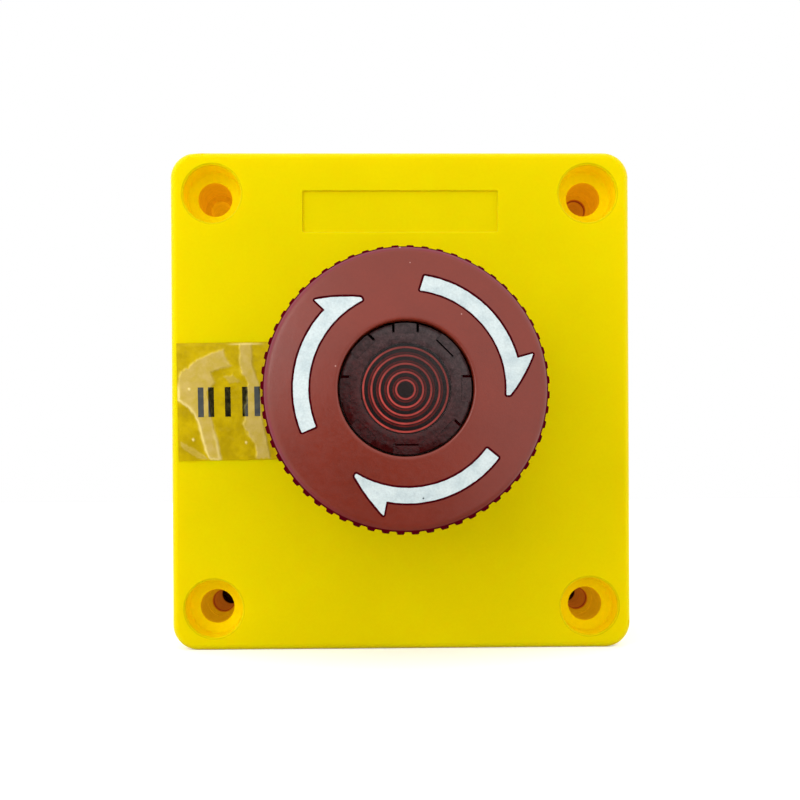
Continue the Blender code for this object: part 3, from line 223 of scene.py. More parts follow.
def soften(points, size, limit=25, steps=4):
    """The closed outline with each corner sharper than limit degrees rounded off."""
    made = []
    for i, point in enumerate(points):
        here = Vector(point)
        before = Vector(points[i - 1]) - here
        after = Vector(points[(i + 1) % len(points)]) - here
        if math.degrees(before.angle(-after)) < limit:
            made.append(tuple(here))
            continue
        reach = min(size, before.length * 0.45, after.length * 0.45)
        a, b = here + before.normalized() * reach, here + after.normalized() * reach
        for k in range(steps + 1):
            t = k / steps
            made.append(tuple(a * (1 - t) ** 2 + here * 2 * t * (1 - t) + b * t * t))
    return made


def pushed(points, distance):
    """The clockwise closed outline, moved outwards all round, with no loop at a notch."""
    made = []
    for i, (x, y) in enumerate(points):
        along = (Vector(points[(i + 1) % len(points)]) - Vector(points[i - 1])).normalized()
        moved = (x - along.y * distance, y + along.x * distance)
        gap = -inside_distance(np.array(moved[0]), np.array(moved[1]), points)
        if gap > 0.97 * distance:
            made.append(moved)
    return made


def roughened(points, size, seed):
    made = []
    for x, y in points:
        shift = noise.noise_vector(Vector((x * 1.6, y * 1.6, seed))) * size
        fine = noise.noise_vector(Vector((x * 6, y * 6, seed + 9))) * size * 0.5
        made.append((x + shift.x + fine.x, y + shift.y + fine.y))
    return made


def arrow_outline(index):
    """A clockwise arrow, with its corners rounded a little."""
    arrow, turn = ARROWS[index], 120 * index
    start, barb, tip = turn + arrow.start, turn + arrow.barb, turn + arrow.tip
    first = start + arrow.slant
    steps = 60
    points = [
        clockwise(ARROW_OUTER, first + (barb - first) * i / steps) for i in range(steps + 1)
    ]
    a = Vector(clockwise(arrow.reach, barb))
    b = Vector(clockwise(ARROW_INNER + arrow.blunt, tip))
    out = Vector((a.y - b.y, b.x - a.x)).normalized()
    for i in range(21):
        t = i / 20
        points.append(tuple(a.lerp(b, t) + out * 4 * arrow.bow * t * (1 - t)))
    points += [clockwise(ARROW_INNER, tip + (start - tip) * i / steps) for i in range(steps + 1)]
    points = soften(points, 0.36)
    return [(x + ARROW_OFFSET.x, y + ARROW_OFFSET.y) for x, y in points]


def dome_height(radius):
    return DOME_TOP - DOME_RADIUS + math.sqrt(DOME_RADIUS**2 - radius**2)


# ------------------------------------------------------------------ mesh tools


def loft(bm, rings, closed=False):
    """Joins rings of points in turn, and caps both ends unless it closes on itself."""
    rows = [[bm.verts.new(point) for point in ring] for ring in rings]
    pairs = list(zip(rows, rows[1:]))
    if closed:
        pairs.append((rows[-1], rows[0]))
    else:
        bm.faces.new(rows[0])
        bm.faces.new(rows[-1])
    for a, b in pairs:
        for i in range(len(a)):
            n = (i + 1) % len(a)
            bm.faces.new((a[i], a[n], b[n], b[i]))


def prism(bm, outline, low, high):
    loft(bm, [[(x, y, low) for x, y in outline], [(x, y, high) for x, y in outline]])


def block(bm, low, high):
    (x0, y0, z0), (x1, y1, z1) = low, high
    prism(bm, [(x0, y0), (x1, y0), (x1, y1), (x0, y1)], z0, z1)


def turned(bm, profile, segments, centre=(0.0, 0.0), shape=None):
    """Spins a closed profile of (radius, height); shape may change a point's radius."""
    rows = []
    for radius, height in profile:
        if radius < 1e-6:
            rows.append([bm.verts.new((*centre, height))] * segments)
            continue
        row = []
        for k in range(segments):
            angle = 2 * math.pi * k / segments
            r = shape(radius, height, angle) if shape else radius
            row.append(
                bm.verts.new(
                    (centre[0] + r * math.cos(angle), centre[1] + r * math.sin(angle), height)
                )
            )
        rows.append(row)
    for a, b in zip(rows, rows[1:] + rows[:1]):
        for k in range(segments):
            n = (k + 1) % segments
            corners = list(dict.fromkeys((a[k], a[n], b[n], b[k])))
            if len(corners) > 2:
                bm.faces.new(corners)


def as_object(name, bm):
    bmesh.ops.recalc_face_normals(bm, faces=bm.faces)
    mesh = bpy.data.meshes.new(name)
    bm.to_mesh(mesh)
    bm.free()
    made = bpy.data.objects.new(name, mesh)
    bpy.context.scene.collection.objects.link(made)
    return made


def bake_modifiers(made):
    depsgraph = bpy.context.evaluated_depsgraph_get()
    baked = bpy.data.meshes.new_from_object(made.evaluated_get(depsgraph))
    made.modifiers.clear()
    old = made.data
    made.data = baked
    bpy.data.meshes.remove(old)


def combine(target, bm, operation="DIFFERENCE", use_self=False):
    """Cuts a body out of the target, or joins it on, for good."""
    tool = as_object("tool", bm)
    modifier = target.modifiers.new("combine", "BOOLEAN")
    modifier.operation = operation
    modifier.solver = "EXACT"
    modifier.use_self = use_self
    modifier.object = tool
    bake_modifiers(target)
    bpy.data.objects.remove(tool, do_unlink=True)


def taken(made):
    """The object's mesh, to join or cut with; the object itself goes."""
    bm = bmesh.new()
    bm.from_mesh(made.data)
    bpy.data.objects.remove(made, do_unlink=True)
    return bm


def settle(made, material, body, stands_for, sharp=32):
    """Stands a finished piece up in the frame on what it rides on, and hides the CAD nodes it
    replaces.
    """
    made.data.transform(PANEL_TO_WORLD)
    made.data.materials.clear()
    for one in material if isinstance(material, (list, tuple)) else [material]:
        made.data.materials.append(one)
    made.data.shade_smooth()
    made.data.set_sharp_from_angle(angle=math.radians(sharp))
    weighted = made.modifiers.new("normals", "WEIGHTED_NORMAL")
    weighted.keep_sharp = True
    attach(made, body)
    if stands_for:
        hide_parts(*stands_for)
    return made


def clean(made):
    """Drops slivers that a Boolean leaves, and joins points that lie together."""
    bm = bmesh.new()
    bm.from_mesh(made.data)
    bmesh.ops.remove_doubles(bm, verts=bm.verts, dist=1e-4)
    bmesh.ops.dissolve_degenerate(bm, edges=bm.edges, dist=1e-4)
    bm.to_mesh(made.data)
    bm.free()


# ------------------------------------------------------------------ shader tools


class Nodes:
    """A node tree, built a step at a time. Nearly every step returns a socket."""

    def __init__(self, tree):
        self.tree = tree

    def node(self, kind, inputs=(), **settings):
        made = self.tree.nodes.new(kind)
        for key, value in settings.items():
            setattr(made, key, value)
        for key, value in dict(inputs).items():
            self.feed(made.inputs[key], value)
        return made

    def feed(self, socket, value):
        if isinstance(value, bpy.types.NodeSocket):
            self.tree.links.new(value, socket)
        elif isinstance(value, (tuple, list)) and socket.type == "RGBA":
            socket.default_value = (*value, 1)
        else:
            socket.default_value = value

    def split(self, vector):
        return self.node("ShaderNodeSeparateXYZ", {"Vector": vector}).outputs

    def math(self, operation, a, b=0.0, c=0.0, clamp=False):
        made = self.node("ShaderNodeMath", operation=operation, use_clamp=clamp)
        for socket, value in zip(made.inputs, (a, b, c)):
            self.feed(socket, value)
        return made.outputs["Value"]

    def remap(self, value, low, high, to_low=0.0, to_high=1.0, smooth=True):
        made = self.node("ShaderNodeMapRange", clamp=True)
        made.interpolation_type = "SMOOTHSTEP" if smooth else "LINEAR"
        for key, given in (
            ("Value", value), ("From Min", low), ("From Max", high),
            ("To Min", to_low), ("To Max", to_high),
        ):
            self.feed(made.inputs[key], given)
        return made.outputs["Result"]

    def between(self, value, low, high):
        """1 where the value lies between the two, and 0 elsewhere."""
        return self.math("MULTIPLY", self.math("GREATER_THAN", value, low),
                         self.math("LESS_THAN", value, high))

    def noise(self, vector, scale, detail=3.0, roughness=0.5, distortion=0.0):
        made = self.node(
            "ShaderNodeTexNoise",
            {"Vector": vector, "Scale": scale, "Detail": detail,
             "Roughness": roughness, "Distortion": distortion},
        )
        return made.outputs["Fac"]

    def specks(self, vector, scale, size):
        """1 in small round spots scattered at random, and 0 elsewhere."""
        cells = self.node(
            "ShaderNodeTexVoronoi", {"Vector": vector, "Scale": scale}, feature="F1"
        )
        near = self.remap(cells.outputs["Distance"], size * 0.6, size, 1, 0)
        lot = self.split(cells.outputs["Color"])[0]
        return self.math("MULTIPLY", near, self.remap(lot, 0.80, 0.82))

    def mix(self, factor, a, b):
        made = self.node("ShaderNodeMix", data_type="RGBA", clamp_factor=True)
        self.feed(made.inputs[0], factor)
        self.feed(made.inputs[6], a)
        self.feed(made.inputs[7], b)
        return made.outputs[2]

    def vector(self, operation, a, b=(0, 0, 0)):
        made = self.node("ShaderNodeVectorMath", operation=operation)
        self.feed(made.inputs[0], a)
        self.feed(made.inputs[1], b)
        return made.outputs["Value" if operation in ("DISTANCE", "LENGTH") else "Vector"]

    def bright(self, colour, factor):
        """The colour times a value."""
        made = self.node("ShaderNodeVectorMath", operation="SCALE")
        self.feed(made.inputs[0], colour)
        self.feed(made.inputs["Scale"], factor)
        return made.outputs["Vector"]

    def mix_shader(self, factor, a, b):
        made = self.node("ShaderNodeMixShader")
        for socket, value in zip(made.inputs, (factor, a, b)):
            self.feed(socket, value)
        return made.outputs["Shader"]

    def bump(self, height, distance, normal=None, strength=1.0):
        """distance is the height's full swing in metres."""
        made = self.node(
            "ShaderNodeBump", {"Height": height, "Distance": distance, "Strength": strength}
        )
        if normal:
            self.feed(made.inputs["Normal"], normal)
        return made.outputs["Normal"]

    def length(self, x, y):
        squares = self.math("ADD", self.math("MULTIPLY", x, x), self.math("MULTIPLY", y, y))
        return self.math("POWER", squares, 0.5)

    def times(self, *values):
        """The product of two or more values."""
        made = values[0]
        for value in values[1:]:
            made = self.math("MULTIPLY", made, value)
        return made


class Shader(Nodes):
    """A node-based material."""

    def __init__(self, name):
        self.material = bpy.data.materials.new(name)
        self.material.use_nodes = True
        super().__init__(self.material.node_tree)
        self.surface = self.tree.nodes["Principled BSDF"]
        self.output = self.tree.nodes["Material Output"]

    def set(self, **values):
        for key, value in values.items():
            self.feed(self.surface.inputs[key.replace("_", " ")], value)

    def show(self, shader):
        self.feed(self.output.inputs["Surface"], shader)

    def place(self):
        """The point being shaded, in the panel's axes and in millimetres."""
        coords = self.node("ShaderNodeTexCoord").outputs["Object"]
        return self.node("ShaderNodeMapping", {
            "Vector": coords,
            "Location": (0, 0, MILLIMETRES * PANEL_Y),
            "Rotation": (math.radians(-90), 0, 0),
            "Scale": (MILLIMETRES,) * 3,
        }).outputs["Vector"]


# ------------------------------------------------------------------ materials

YELLOW = (0.785, 0.635, 0.0003)
# Painted shade: a darker, more orange yellow for the bores and a brown for the pilots
YELLOW_BORE_SHADE = (0.45, 0.24, 0.0002)
PILOT_SHADE_BROWN = (0.10, 0.03, 0.001)
RED = (0.188, 0.0165, 0.0040)
RIM_SHADE_RED = (0.085, 0.0008, 0.006)
WALL_RED = (0.175, 0.010, 0.0045)
FILLET_SHEEN_RED = (0.20, 0.010, 0.034)
# Painted shade in the arrows' pockets
GROOVE_SHADE_RED = (0.075, 0.0004, 0.004)
DUST = (0.55, 0.30, 0.26)
LENS_SMOKE_LOW = (0.038, 0.0010, 0.0012)
LENS_SMOKE_SHEEN = (0.045, 0.025, 0.026)
LENS_TINT = (0.62, 0.40, 0.38)
LENS_VALLEY_SHADE = (0.010, 0.004, 0.004)
LENS_FLANK_GLOW = (0.24, 0.012, 0.010)
LENS_CREST_HIGHLIGHT = (0.95, 0.30, 0.26)
LENS_SLOT_SHADE_RED = (0.09, 0.0, 0.003)
LENS_SLOT_SHADOW = (0.004, 0.001, 0.002)

# The arrows' paint: two shades of its body, its thin patches and its specks
PAINT_WHITE = ((0.62, 0.70, 0.70), (0.50, 0.59, 0.605))
PAINT_THIN = (0.34, 0.38, 0.42)
PAINT_SPECK = (0.05, 0.07, 0.08)

# The film, from its thicker to its thinner look: two shades of each
FILM_WET = ((0.62, 0.435, 0.0004), (0.45, 0.305, 0.0004))
FILM_PALE = ((0.62, 0.45, 0.12), (0.56, 0.40, 0.055))
# A painted highlight for the film's creases and drops
FILM_CREASE_HIGHLIGHT = (0.95, 0.78, 0.32)
FILM_INK = ((0.003, 0.003, 0.005), (0.055, 0.065, 0.080))

# Specks of dust on the head: where, and how large
DUST_SPOTS = ((-9.5, 3.0, 0.13), (7.55, 10.0, 0.12), (-0.7, 19.3, 0.14), (0.65, 17.1, 0.10))

# Painted glow: colour emitted on the holes' walls in place of light that the plastic lets through
# to them
GLOW_FLOOR = (0.16, 0.080, 0.0)
GLOW_BORE = (0.24, 0.130, 0.0008)
# Painted light: the glow is brighter on the holes' upper sides
GLOW_BORE_UPPER = (0.35, 0.145, 0.0008)
GLOW_PILOT = (0.24, 0.055, 0.003)
GLOW_PILOT_UPPER_RIGHT = (0.38, 0.10, 0.002)
GLOW_PILOT_UPPER_LEFT = (0.62, 0.24, 0.001)
# Painted shade: a dimmer glow in a ring at each pilot's mouth, and the depth below which the glow
# fades to painted darkness
GLOW_PILOT_RIM_SHADED = (0.10, 0.004, 0.002)
PILOT_DARK = -27.0
HOLES_END = -33.0


def hole_distance(s, x, y):
    """How far a point of the panel is from the middle of the nearest corner hole."""
    off_x = s.math("SUBTRACT", s.math("ABSOLUTE", x), HOLE_X)
    off_y = s.math("SUBTRACT", s.math("ABSOLUTE", y), HOLE_Y)
    return s.length(off_x, off_y)


def below(s, z, height, blend):
    """1 under a height, and 0 from blend above it."""
    return s.remap(z, height, height + blend, 1, 0)


def in_pilot(s, z, off):
    return s.times(s.math("LESS_THAN", off, PILOT_RADIUS + 0.06), below(s, z, -14.5, 0.2),
                   s.math("GREATER_THAN", z, HOLES_END))


def in_bore(s, z, off):
    return s.times(s.remap(off, 2.70, 2.85, 1, 0), below(s, z, -5.1, 0.2))


def hole_glow(s, x, y, z, off):
    """The painted orange glow in the corner holes, browner and fading to dark down in the pilots.
    """
    upper = s.math("GREATER_THAN", y, 0)
    left = s.math("MULTIPLY", upper, s.math("LESS_THAN", x, 0))
    pilot = s.mix(upper, GLOW_PILOT, GLOW_PILOT_UPPER_RIGHT)
    pilot = s.mix(left, pilot, GLOW_PILOT_UPPER_LEFT)
    in_counterbore = s.times(s.remap(off, 4.6, 4.8, 1, 0), below(s, z, -0.9, 0.6))
    glow = s.mix(in_counterbore, (0, 0, 0), GLOW_FLOOR)
    glow = s.mix(in_bore(s, z, off), glow, s.mix(upper, GLOW_BORE, GLOW_BORE_UPPER))
    glow = s.mix(in_pilot(s, z, off), glow, pilot)
    # Painted shade: a dimmer ring of glow round each pilot's mouth, but not at the upper left
    from_rim = s.math("ABSOLUTE", s.math("SUBTRACT", off, PILOT_RADIUS + 0.08))
    rim = s.times(s.remap(from_rim, 0.08, 0.18, 1, 0), below(s, z, -14.1, 0.2),
                  s.remap(z, -15.4, -14.9), s.math("SUBTRACT", 1, left))
    glow = s.mix(rim, glow, GLOW_PILOT_RIM_SHADED)
    return s.bright(glow, s.remap(z, PILOT_DARK - 0.5, PILOT_DARK + 0.5))


def yellow_plastic():
    """Moulded plastic: satin and faintly mottled, painted darker and more orange down in the holes
    as shade, with a painted glow there.
    """
    s = Shader("yellow_plastic")
    at = s.place()
    x, y, z = s.split(at)
    off = hole_distance(s, x, y)
    deep = s.times(in_bore(s, z, off), s.math("GREATER_THAN", z, HOLES_END))
    mottle = s.remap(s.noise(at, 0.05, 2), 0.3, 0.7, 0.975, 1.02)
    fine = s.remap(s.noise(at, 2.2, 4, 0.65), 0.25, 0.75, 0.985, 1.015)
    # Painted shade: the bores darker and more orange, the pilots brown
    colour = s.mix(in_pilot(s, z, off), s.mix(deep, YELLOW, YELLOW_BORE_SHADE), PILOT_SHADE_BROWN)
    colour = s.bright(colour, s.math("MULTIPLY", mottle, fine))
    # Painted shade: a darker ring round each counterbore's mouth
    from_mouth = s.math("ABSOLUTE", s.math("SUBTRACT", off, COUNTERBORE_RADIUS + 0.22))
    mouth = s.math("MULTIPLY", s.remap(from_mouth, 0.04, 0.16, 1, 0), s.remap(z, -1.5, -1.2))
    colour = s.bright(colour, s.remap(mouth, 0, 1, 1, 0.80, smooth=False))
    streaks = s.remap(s.noise(at, 1.1, 4, 0.6), 0.3, 0.7, 0.88, 1.12)
    grain = s.noise(at, 5.0, 4, 0.6)
    wave = s.noise(at, 0.35, 2, 0.5)
    normal = s.bump(grain, 0.000012, s.bump(wave, 0.00004))
    s.set(
        Base_Color=colour,
        Roughness=s.remap(s.noise(at, 0.8, 3), 0.3, 0.7, 0.36, 0.44),
        Specular_IOR_Level=0.45,
        Specular_Tint=(1.0, 0.80, 0.0),
        Subsurface_Weight=0.35,
        Subsurface_Radius=Vector((1.0, 0.42, 0.02)),
        Subsurface_Scale=0.004,
        Emission_Color=s.bright(hole_glow(s, x, y, z, off), streaks),
        Emission_Strength=1.0,
        Normal=normal,
    )
    return s.material


def red_plastic():
    """The head's matt red, with painted shade darkening its knurled rim and a painted sheen on its
    edge.
    """
    s = Shader("red_plastic")
    at = s.place()
    x, y, z = s.split(at)
    mottle = s.remap(s.noise(at, 0.12, 3), 0.3, 0.7, 0.94, 1.06)
    fine = s.remap(s.noise(at, 3.0, 4, 0.6), 0.25, 0.75, 0.96, 1.04)
    side = HEAD_RADIUS - TOOTH_HEIGHT
    r = s.length(x, y)
    # Painted shade: the top of the knurled rim in a darker red
    rim = s.remap(r, side - 0.36, side - 0.18)
    # Painted sheen: a paler magenta on the upper left of the edge round
    fillet_sheen = s.math("MULTIPLY", s.remap(r, side - 0.85, side - 0.45, 0, 0.8),
                    s.remap(s.math("SUBTRACT", y, x), -20, 14))
    wall = s.remap(z, 23.6, 24.8, 1, 0)
    shaded_rim = s.math("SUBTRACT", rim, wall)
    colour = s.mix(rim, s.mix(fillet_sheen, RED, FILLET_SHEEN_RED), s.mix(wall, RIM_SHADE_RED, WALL_RED))
    colour = s.bright(colour, s.math("MULTIPLY", mottle, fine))
    colour = s.mix(s.math("MULTIPLY", s.specks(at, 0.22, 0.045), 0.5), colour, DUST)
    flat = s.node("ShaderNodeCombineXYZ", {"X": x, "Y": y}).outputs["Vector"]
    for px, py, size in DUST_SPOTS:
        spot = s.remap(s.vector("DISTANCE", flat, (px, py, 0)), size * 0.5, size, 0.8, 0)
        colour = s.mix(spot, colour, DUST)
    normal = s.bump(s.noise(at, 4.0, 5, 0.65), 0.000018, s.bump(s.noise(at, 0.5, 2), 0.00003))
    s.set(
        Base_Color=colour,
        Roughness=s.remap(s.noise(at, 1.2, 3), 0.3, 0.7, 0.30, 0.38),
        Specular_IOR_Level=s.math("MULTIPLY", s.remap(shaded_rim, 0, 1, 0.55, 0),
                                  s.remap(fillet_sheen, 0, 0.8, 1, 0.7)),
        Normal=normal,
    )
    return s.material


def groove_shade():
    """The unpainted wall and floor of an arrow's pocket: painted shade, dark red with a faint
    glow.
    """
    s = Shader("groove_shade")
    at = s.place()
    shade = s.remap(s.noise(at, 2.0, 3), 0.2, 0.8, 0.7, 1.3)
    s.set(
        Base_Color=s.bright(GROOVE_SHADE_RED, shade),
        Roughness=0.7,
        Specular_IOR_Level=0.05,
        Emission_Color=s.bright(GROOVE_SHADE_RED, shade),
        Emission_Strength=0.35,
    )
    return s.material


def white_paint():
    """Hand-filled bluish white: thin patches and dark specks."""
    s = Shader("white_inlay")
    at = s.place()
    cloud = s.remap(s.noise(at, 0.45, 4, 0.6), 0.35, 0.7)
    colour = s.mix(cloud, *PAINT_WHITE)
    thin = s.remap(s.noise(at, 0.9, 5, 0.7), 0.66, 0.78)
    colour = s.mix(s.math("MULTIPLY", thin, 0.6), colour, PAINT_THIN)
    colour = s.bright(colour, s.remap(s.noise(at, 3.5, 3, 0.7), 0.3, 0.7, 0.93, 1.07))
    colour = s.mix(s.specks(at, 0.38, 0.07), colour, PAINT_SPECK)
    s.set(
        Base_Color=colour,
        Roughness=s.remap(s.noise(at, 1.0, 3), 0.3, 0.7, 0.42, 0.6),
        Specular_IOR_Level=0.3,
        Normal=s.bump(s.noise(at, 1.1, 4, 0.6), 0.00006),
    )
    return s.material


def smoked_lens():
    """Smoky red plastic: clear over the rings, dense towards its rim, with a painted sheen to the
    upper right.
    """
    s = Shader("smoked_lens")
    at = s.place()
    x, y, z = s.split(at)
    streak = s.remap(s.noise(at, 1.3, 5, 0.7), 0.3, 0.75, 0.6, 1.5)
    grain = s.remap(s.noise(at, 5.0, 3, 0.7), 0.3, 0.7, 0.75, 1.3)
    slot = s.remap(z, LENS_HIGH.z - 0.45, LENS_HIGH.z - 0.35, 1, 0)
    # Painted sheen: the smoke greyer and lighter towards the upper right
    across = s.math("ADD", s.math("MULTIPLY", x, 0.6), y)
    smoke_and_sheen = s.mix(s.remap(across, -6.0, 8.0, smooth=False), LENS_SMOKE_LOW, LENS_SMOKE_SHEEN)
    smoke_and_sheen = s.bright(smoke_and_sheen, s.math("MULTIPLY", streak, grain))
    # Painted shade in the deep slots: a black painted shadow in the upper ones, dark red lower
    # down
    slot_shade = s.mix(s.remap(y, 2.0, 4.0), LENS_SLOT_SHADE_RED, LENS_SLOT_SHADOW)
    s.set(
        Base_Color=s.mix(slot, smoke_and_sheen, slot_shade),
        Roughness=s.remap(s.noise(at, 0.9, 4), 0.3, 0.7, 0.14, 0.28),
        Specular_IOR_Level=s.remap(slot, 0, 1, 0.36, 0),
        Normal=s.bump(s.noise(at, 1.5, 4, 0.6), 0.00003),
    )
    window = s.mix_shader(
        s.node("ShaderNodeFresnel", {"IOR": 1.45}).outputs["Fac"],
        s.node("ShaderNodeBsdfTransparent", {"Color": LENS_TINT}).outputs["BSDF"],
        s.node("ShaderNodeBsdfGlossy", {"Roughness": 0.12}).outputs["BSDF"],
    )
    edge = s.remap(s.length(x, y), WINDOW_RADIUS - 0.12, WINDOW_RADIUS + 0.2)
    s.show(s.mix_shader(edge, window, s.surface.outputs["BSDF"]))
    return s.material


def lens_rings_painted_light():
    """Painted highlights: bright salmon on the ridges' crests and a glowing red line on their
    flanks; painted shade, nearly black, between them.
    """
    s = Shader("lens_rings")
    at = s.place()
    x, y, _ = s.split(at)
    r = s.length(x, y)
    turns = s.math("DIVIDE", s.math("SUBTRACT", r, RING_FIRST), RING_PITCH)
    away = s.math("ABSOLUTE", s.math("SUBTRACT", turns, s.math("ROUND", turns)))
    on_rings = s.math("MULTIPLY", s.remap(r, 5.9, 6.1, 1, 0), s.remap(r, 0.85, 1.0))
    crest = s.math("MULTIPLY", s.remap(away, 0.085, 0.15, 1, 0), on_rings)
    share = s.math("SUBTRACT", turns, s.math("FLOOR", turns))
    line = s.math("ABSOLUTE", s.math("SUBTRACT", share, 0.33))
    flank = s.math("MULTIPLY", s.remap(line, 0.06, 0.14, 1, 0), on_rings)
    colour = s.mix(flank, LENS_VALLEY_SHADE, LENS_FLANK_GLOW)
    colour = s.mix(crest, colour, LENS_CREST_HIGHLIGHT)
    # Painted glow, brighter towards the lower left
    lower_left = s.remap(s.math("ADD", x, y), -7.0, 7.0, 1.25, 0.45)
    flicker = s.remap(s.noise(at, 0.8, 4, 0.6), 0.3, 0.7, 0.65, 1.35)
    s.set(
        Base_Color=colour,
        Roughness=0.35,
        Specular_IOR_Level=0.3,
        Emission_Color=s.bright(colour, s.math("MULTIPLY", lower_left, flicker)),
        Emission_Strength=s.remap(s.math("MAXIMUM", crest, flank), 0, 1, 0, 0.9),
    )
    return s.material


def label_film():
    """Clear tape: dark where it has wetted the panel, pale where it stands off it, with a painted
    highlight on its creases.
    """
    s = Shader("clear_film")
    place = s.node("ShaderNodeUVMap", uv_map="film_place").outputs["UV"]
    u, v, _ = s.split(place)
    at = s.place()
    raised = s.node("ShaderNodeAttribute", attribute_name="raised").outputs["Fac"]
    crease_highlight = s.node("ShaderNodeAttribute", attribute_name="crease_highlight").outputs["Fac"]
    wet = s.mix(s.remap(s.noise(at, 0.35, 4, 0.6), 0.3, 0.7), *FILM_WET)
    pale = s.mix(s.remap(s.noise(at, 0.7, 4, 0.6), 0.3, 0.7), *FILM_PALE)
    colour = s.mix(raised, wet, pale)
    # Painted highlight on the creases and drops
    colour = s.mix(crease_highlight, colour, FILM_CREASE_HIGHLIGHT)
    ink = None
    for left, right in BARS:
        wide = s.between(u, left, right)
        ink = wide if ink is None else s.math("MAXIMUM", ink, wide)
    ink = s.math("MULTIPLY", ink, s.between(v, *BAR_SPAN))
    printed = s.mix(raised, *FILM_INK)
    colour = s.mix(ink, colour, printed)
    s.set(
        Base_Color=colour,
        Roughness=0.22,
        Specular_IOR_Level=0.5,
        Specular_Tint=(1.0, 0.85, 0.12),
        Coat_Weight=0.08,
        Coat_Roughness=0.05,
        Normal=s.bump(s.noise(at, 0.9, 4, 0.6), 0.00005),
    )
    return s.material


def plain_plastic(name, colour, roughness, grain=0.00002):
    s = Shader(name)
    at = s.place()
    shade = s.remap(s.noise(at, 0.9, 4, 0.6), 0.25, 0.75, 0.88, 1.12)
    s.set(
        Base_Color=s.bright(colour, shade),
        Roughness=s.remap(s.noise(at, 1.5, 3), 0.3, 0.7, roughness - 0.06, roughness + 0.06),
        Normal=s.bump(s.noise(at, 4.5, 4, 0.6), grain),
    )
    return s.material


def plain_metal(name, colour, roughness, stretch=6.0):
    """Plated or drawn metal, with fine marks along its length and a mottled finish."""
    s = Shader(name)
    at = s.place()
    long = s.node("ShaderNodeMapping", {"Vector": at, "Scale": (1, 1, 1 / stretch)})
    marks = s.noise(long.outputs["Vector"], 7.0, 4, 0.6)
    shade = s.remap(s.noise(at, 0.6, 3), 0.3, 0.7, 0.85, 1.1)
    s.set(
        Base_Color=s.bright(colour, shade),
        Metallic=1.0,
        Roughness=s.remap(marks, 0.3, 0.7, roughness - 0.08, roughness + 0.08),
        Normal=s.bump(marks, 0.00001),
    )
    return s.material


FLOOR_BOUNCE = (0.78, 0.78, 0.78)
FLOOR_SEEN = (0.93, 0.93, 0.93)


def floor_white():
    """White to the camera; it bounces less light, and the object doesn't mirror it."""
    s = Shader("studio_floor")
    at = s.place()
    shade = s.remap(s.noise(at, 0.004, 2), 0.3, 0.7, 0.985, 1.0)
    rays = s.node("ShaderNodeLightPath").outputs
    seen = rays["Is Camera Ray"]
    s.set(
        Base_Color=s.bright(s.mix(seen, FLOOR_BOUNCE, FLOOR_SEEN), shade),
        Roughness=0.7,
        Specular_IOR_Level=0.1,
        Emission_Color=(1.0, 1.0, 1.0),
        Emission_Strength=s.math("MULTIPLY", seen, 0.30),
    )
    clear = s.node("ShaderNodeBsdfTransparent").outputs["BSDF"]
    s.show(s.mix_shader(rays["Is Glossy Ray"], s.surface.outputs["BSDF"], clear))
    return s.material


SLOTS = {
    "yellow_plastic": yellow_plastic(),
    "red_plastic": red_plastic(),
    "white_inlay": white_paint(),
    "smoked_lens": smoked_lens(),
    "clear_film": label_film(),
    "black_plastic": plain_plastic("black_plastic", (0.018, 0.018, 0.019), 0.46),
    "rubber": plain_plastic("rubber", (0.022, 0.022, 0.022), 0.72, 0.00005),
    "nylon": plain_plastic("nylon", (0.72, 0.70, 0.62), 0.42),
    "spring_steel": plain_metal("spring_steel", (0.62, 0.62, 0.62), 0.28),
    "plated_steel": plain_metal("plated_steel", (0.70, 0.71, 0.74), 0.32),
    "contact_brass": plain_metal("contact_brass", (0.80, 0.58, 0.25), 0.30),
    "red_block": plain_plastic("red_block", (0.36, 0.02, 0.02), 0.42),
    "green_block": plain_plastic("green_block", (0.02, 0.21, 0.07), 0.42),
    "lamp_diffuser": plain_plastic("lamp_diffuser", (0.80, 0.79, 0.74), 0.30),
}

# ------------------------------------------------------------------ the box


def hole_places():
    for sign_x in (-1, 1):
        for sign_y in (-1, 1):
            yield sign_x * HOLE_X, sign_y * HOLE_Y


def threaded(centre):
    """Thread marks that the cover screws have left on the bore's outer side."""
    facing = math.atan2(0, -centre[0])

    def shape(radius, height, angle):
        if radius > BORE_RADIUS + 0.02 or height > -5.6:
            return radius
        side = max(0.0, math.cos(angle - facing)) ** 0.6
        wave = math.sin(2 * math.pi * height / 0.9 + angle)
        fade = max(0.0, 1 - abs(height + 8.0) / 3.2)
        return radius + 0.10 * side * fade * max(0.0, wave)

    return shape


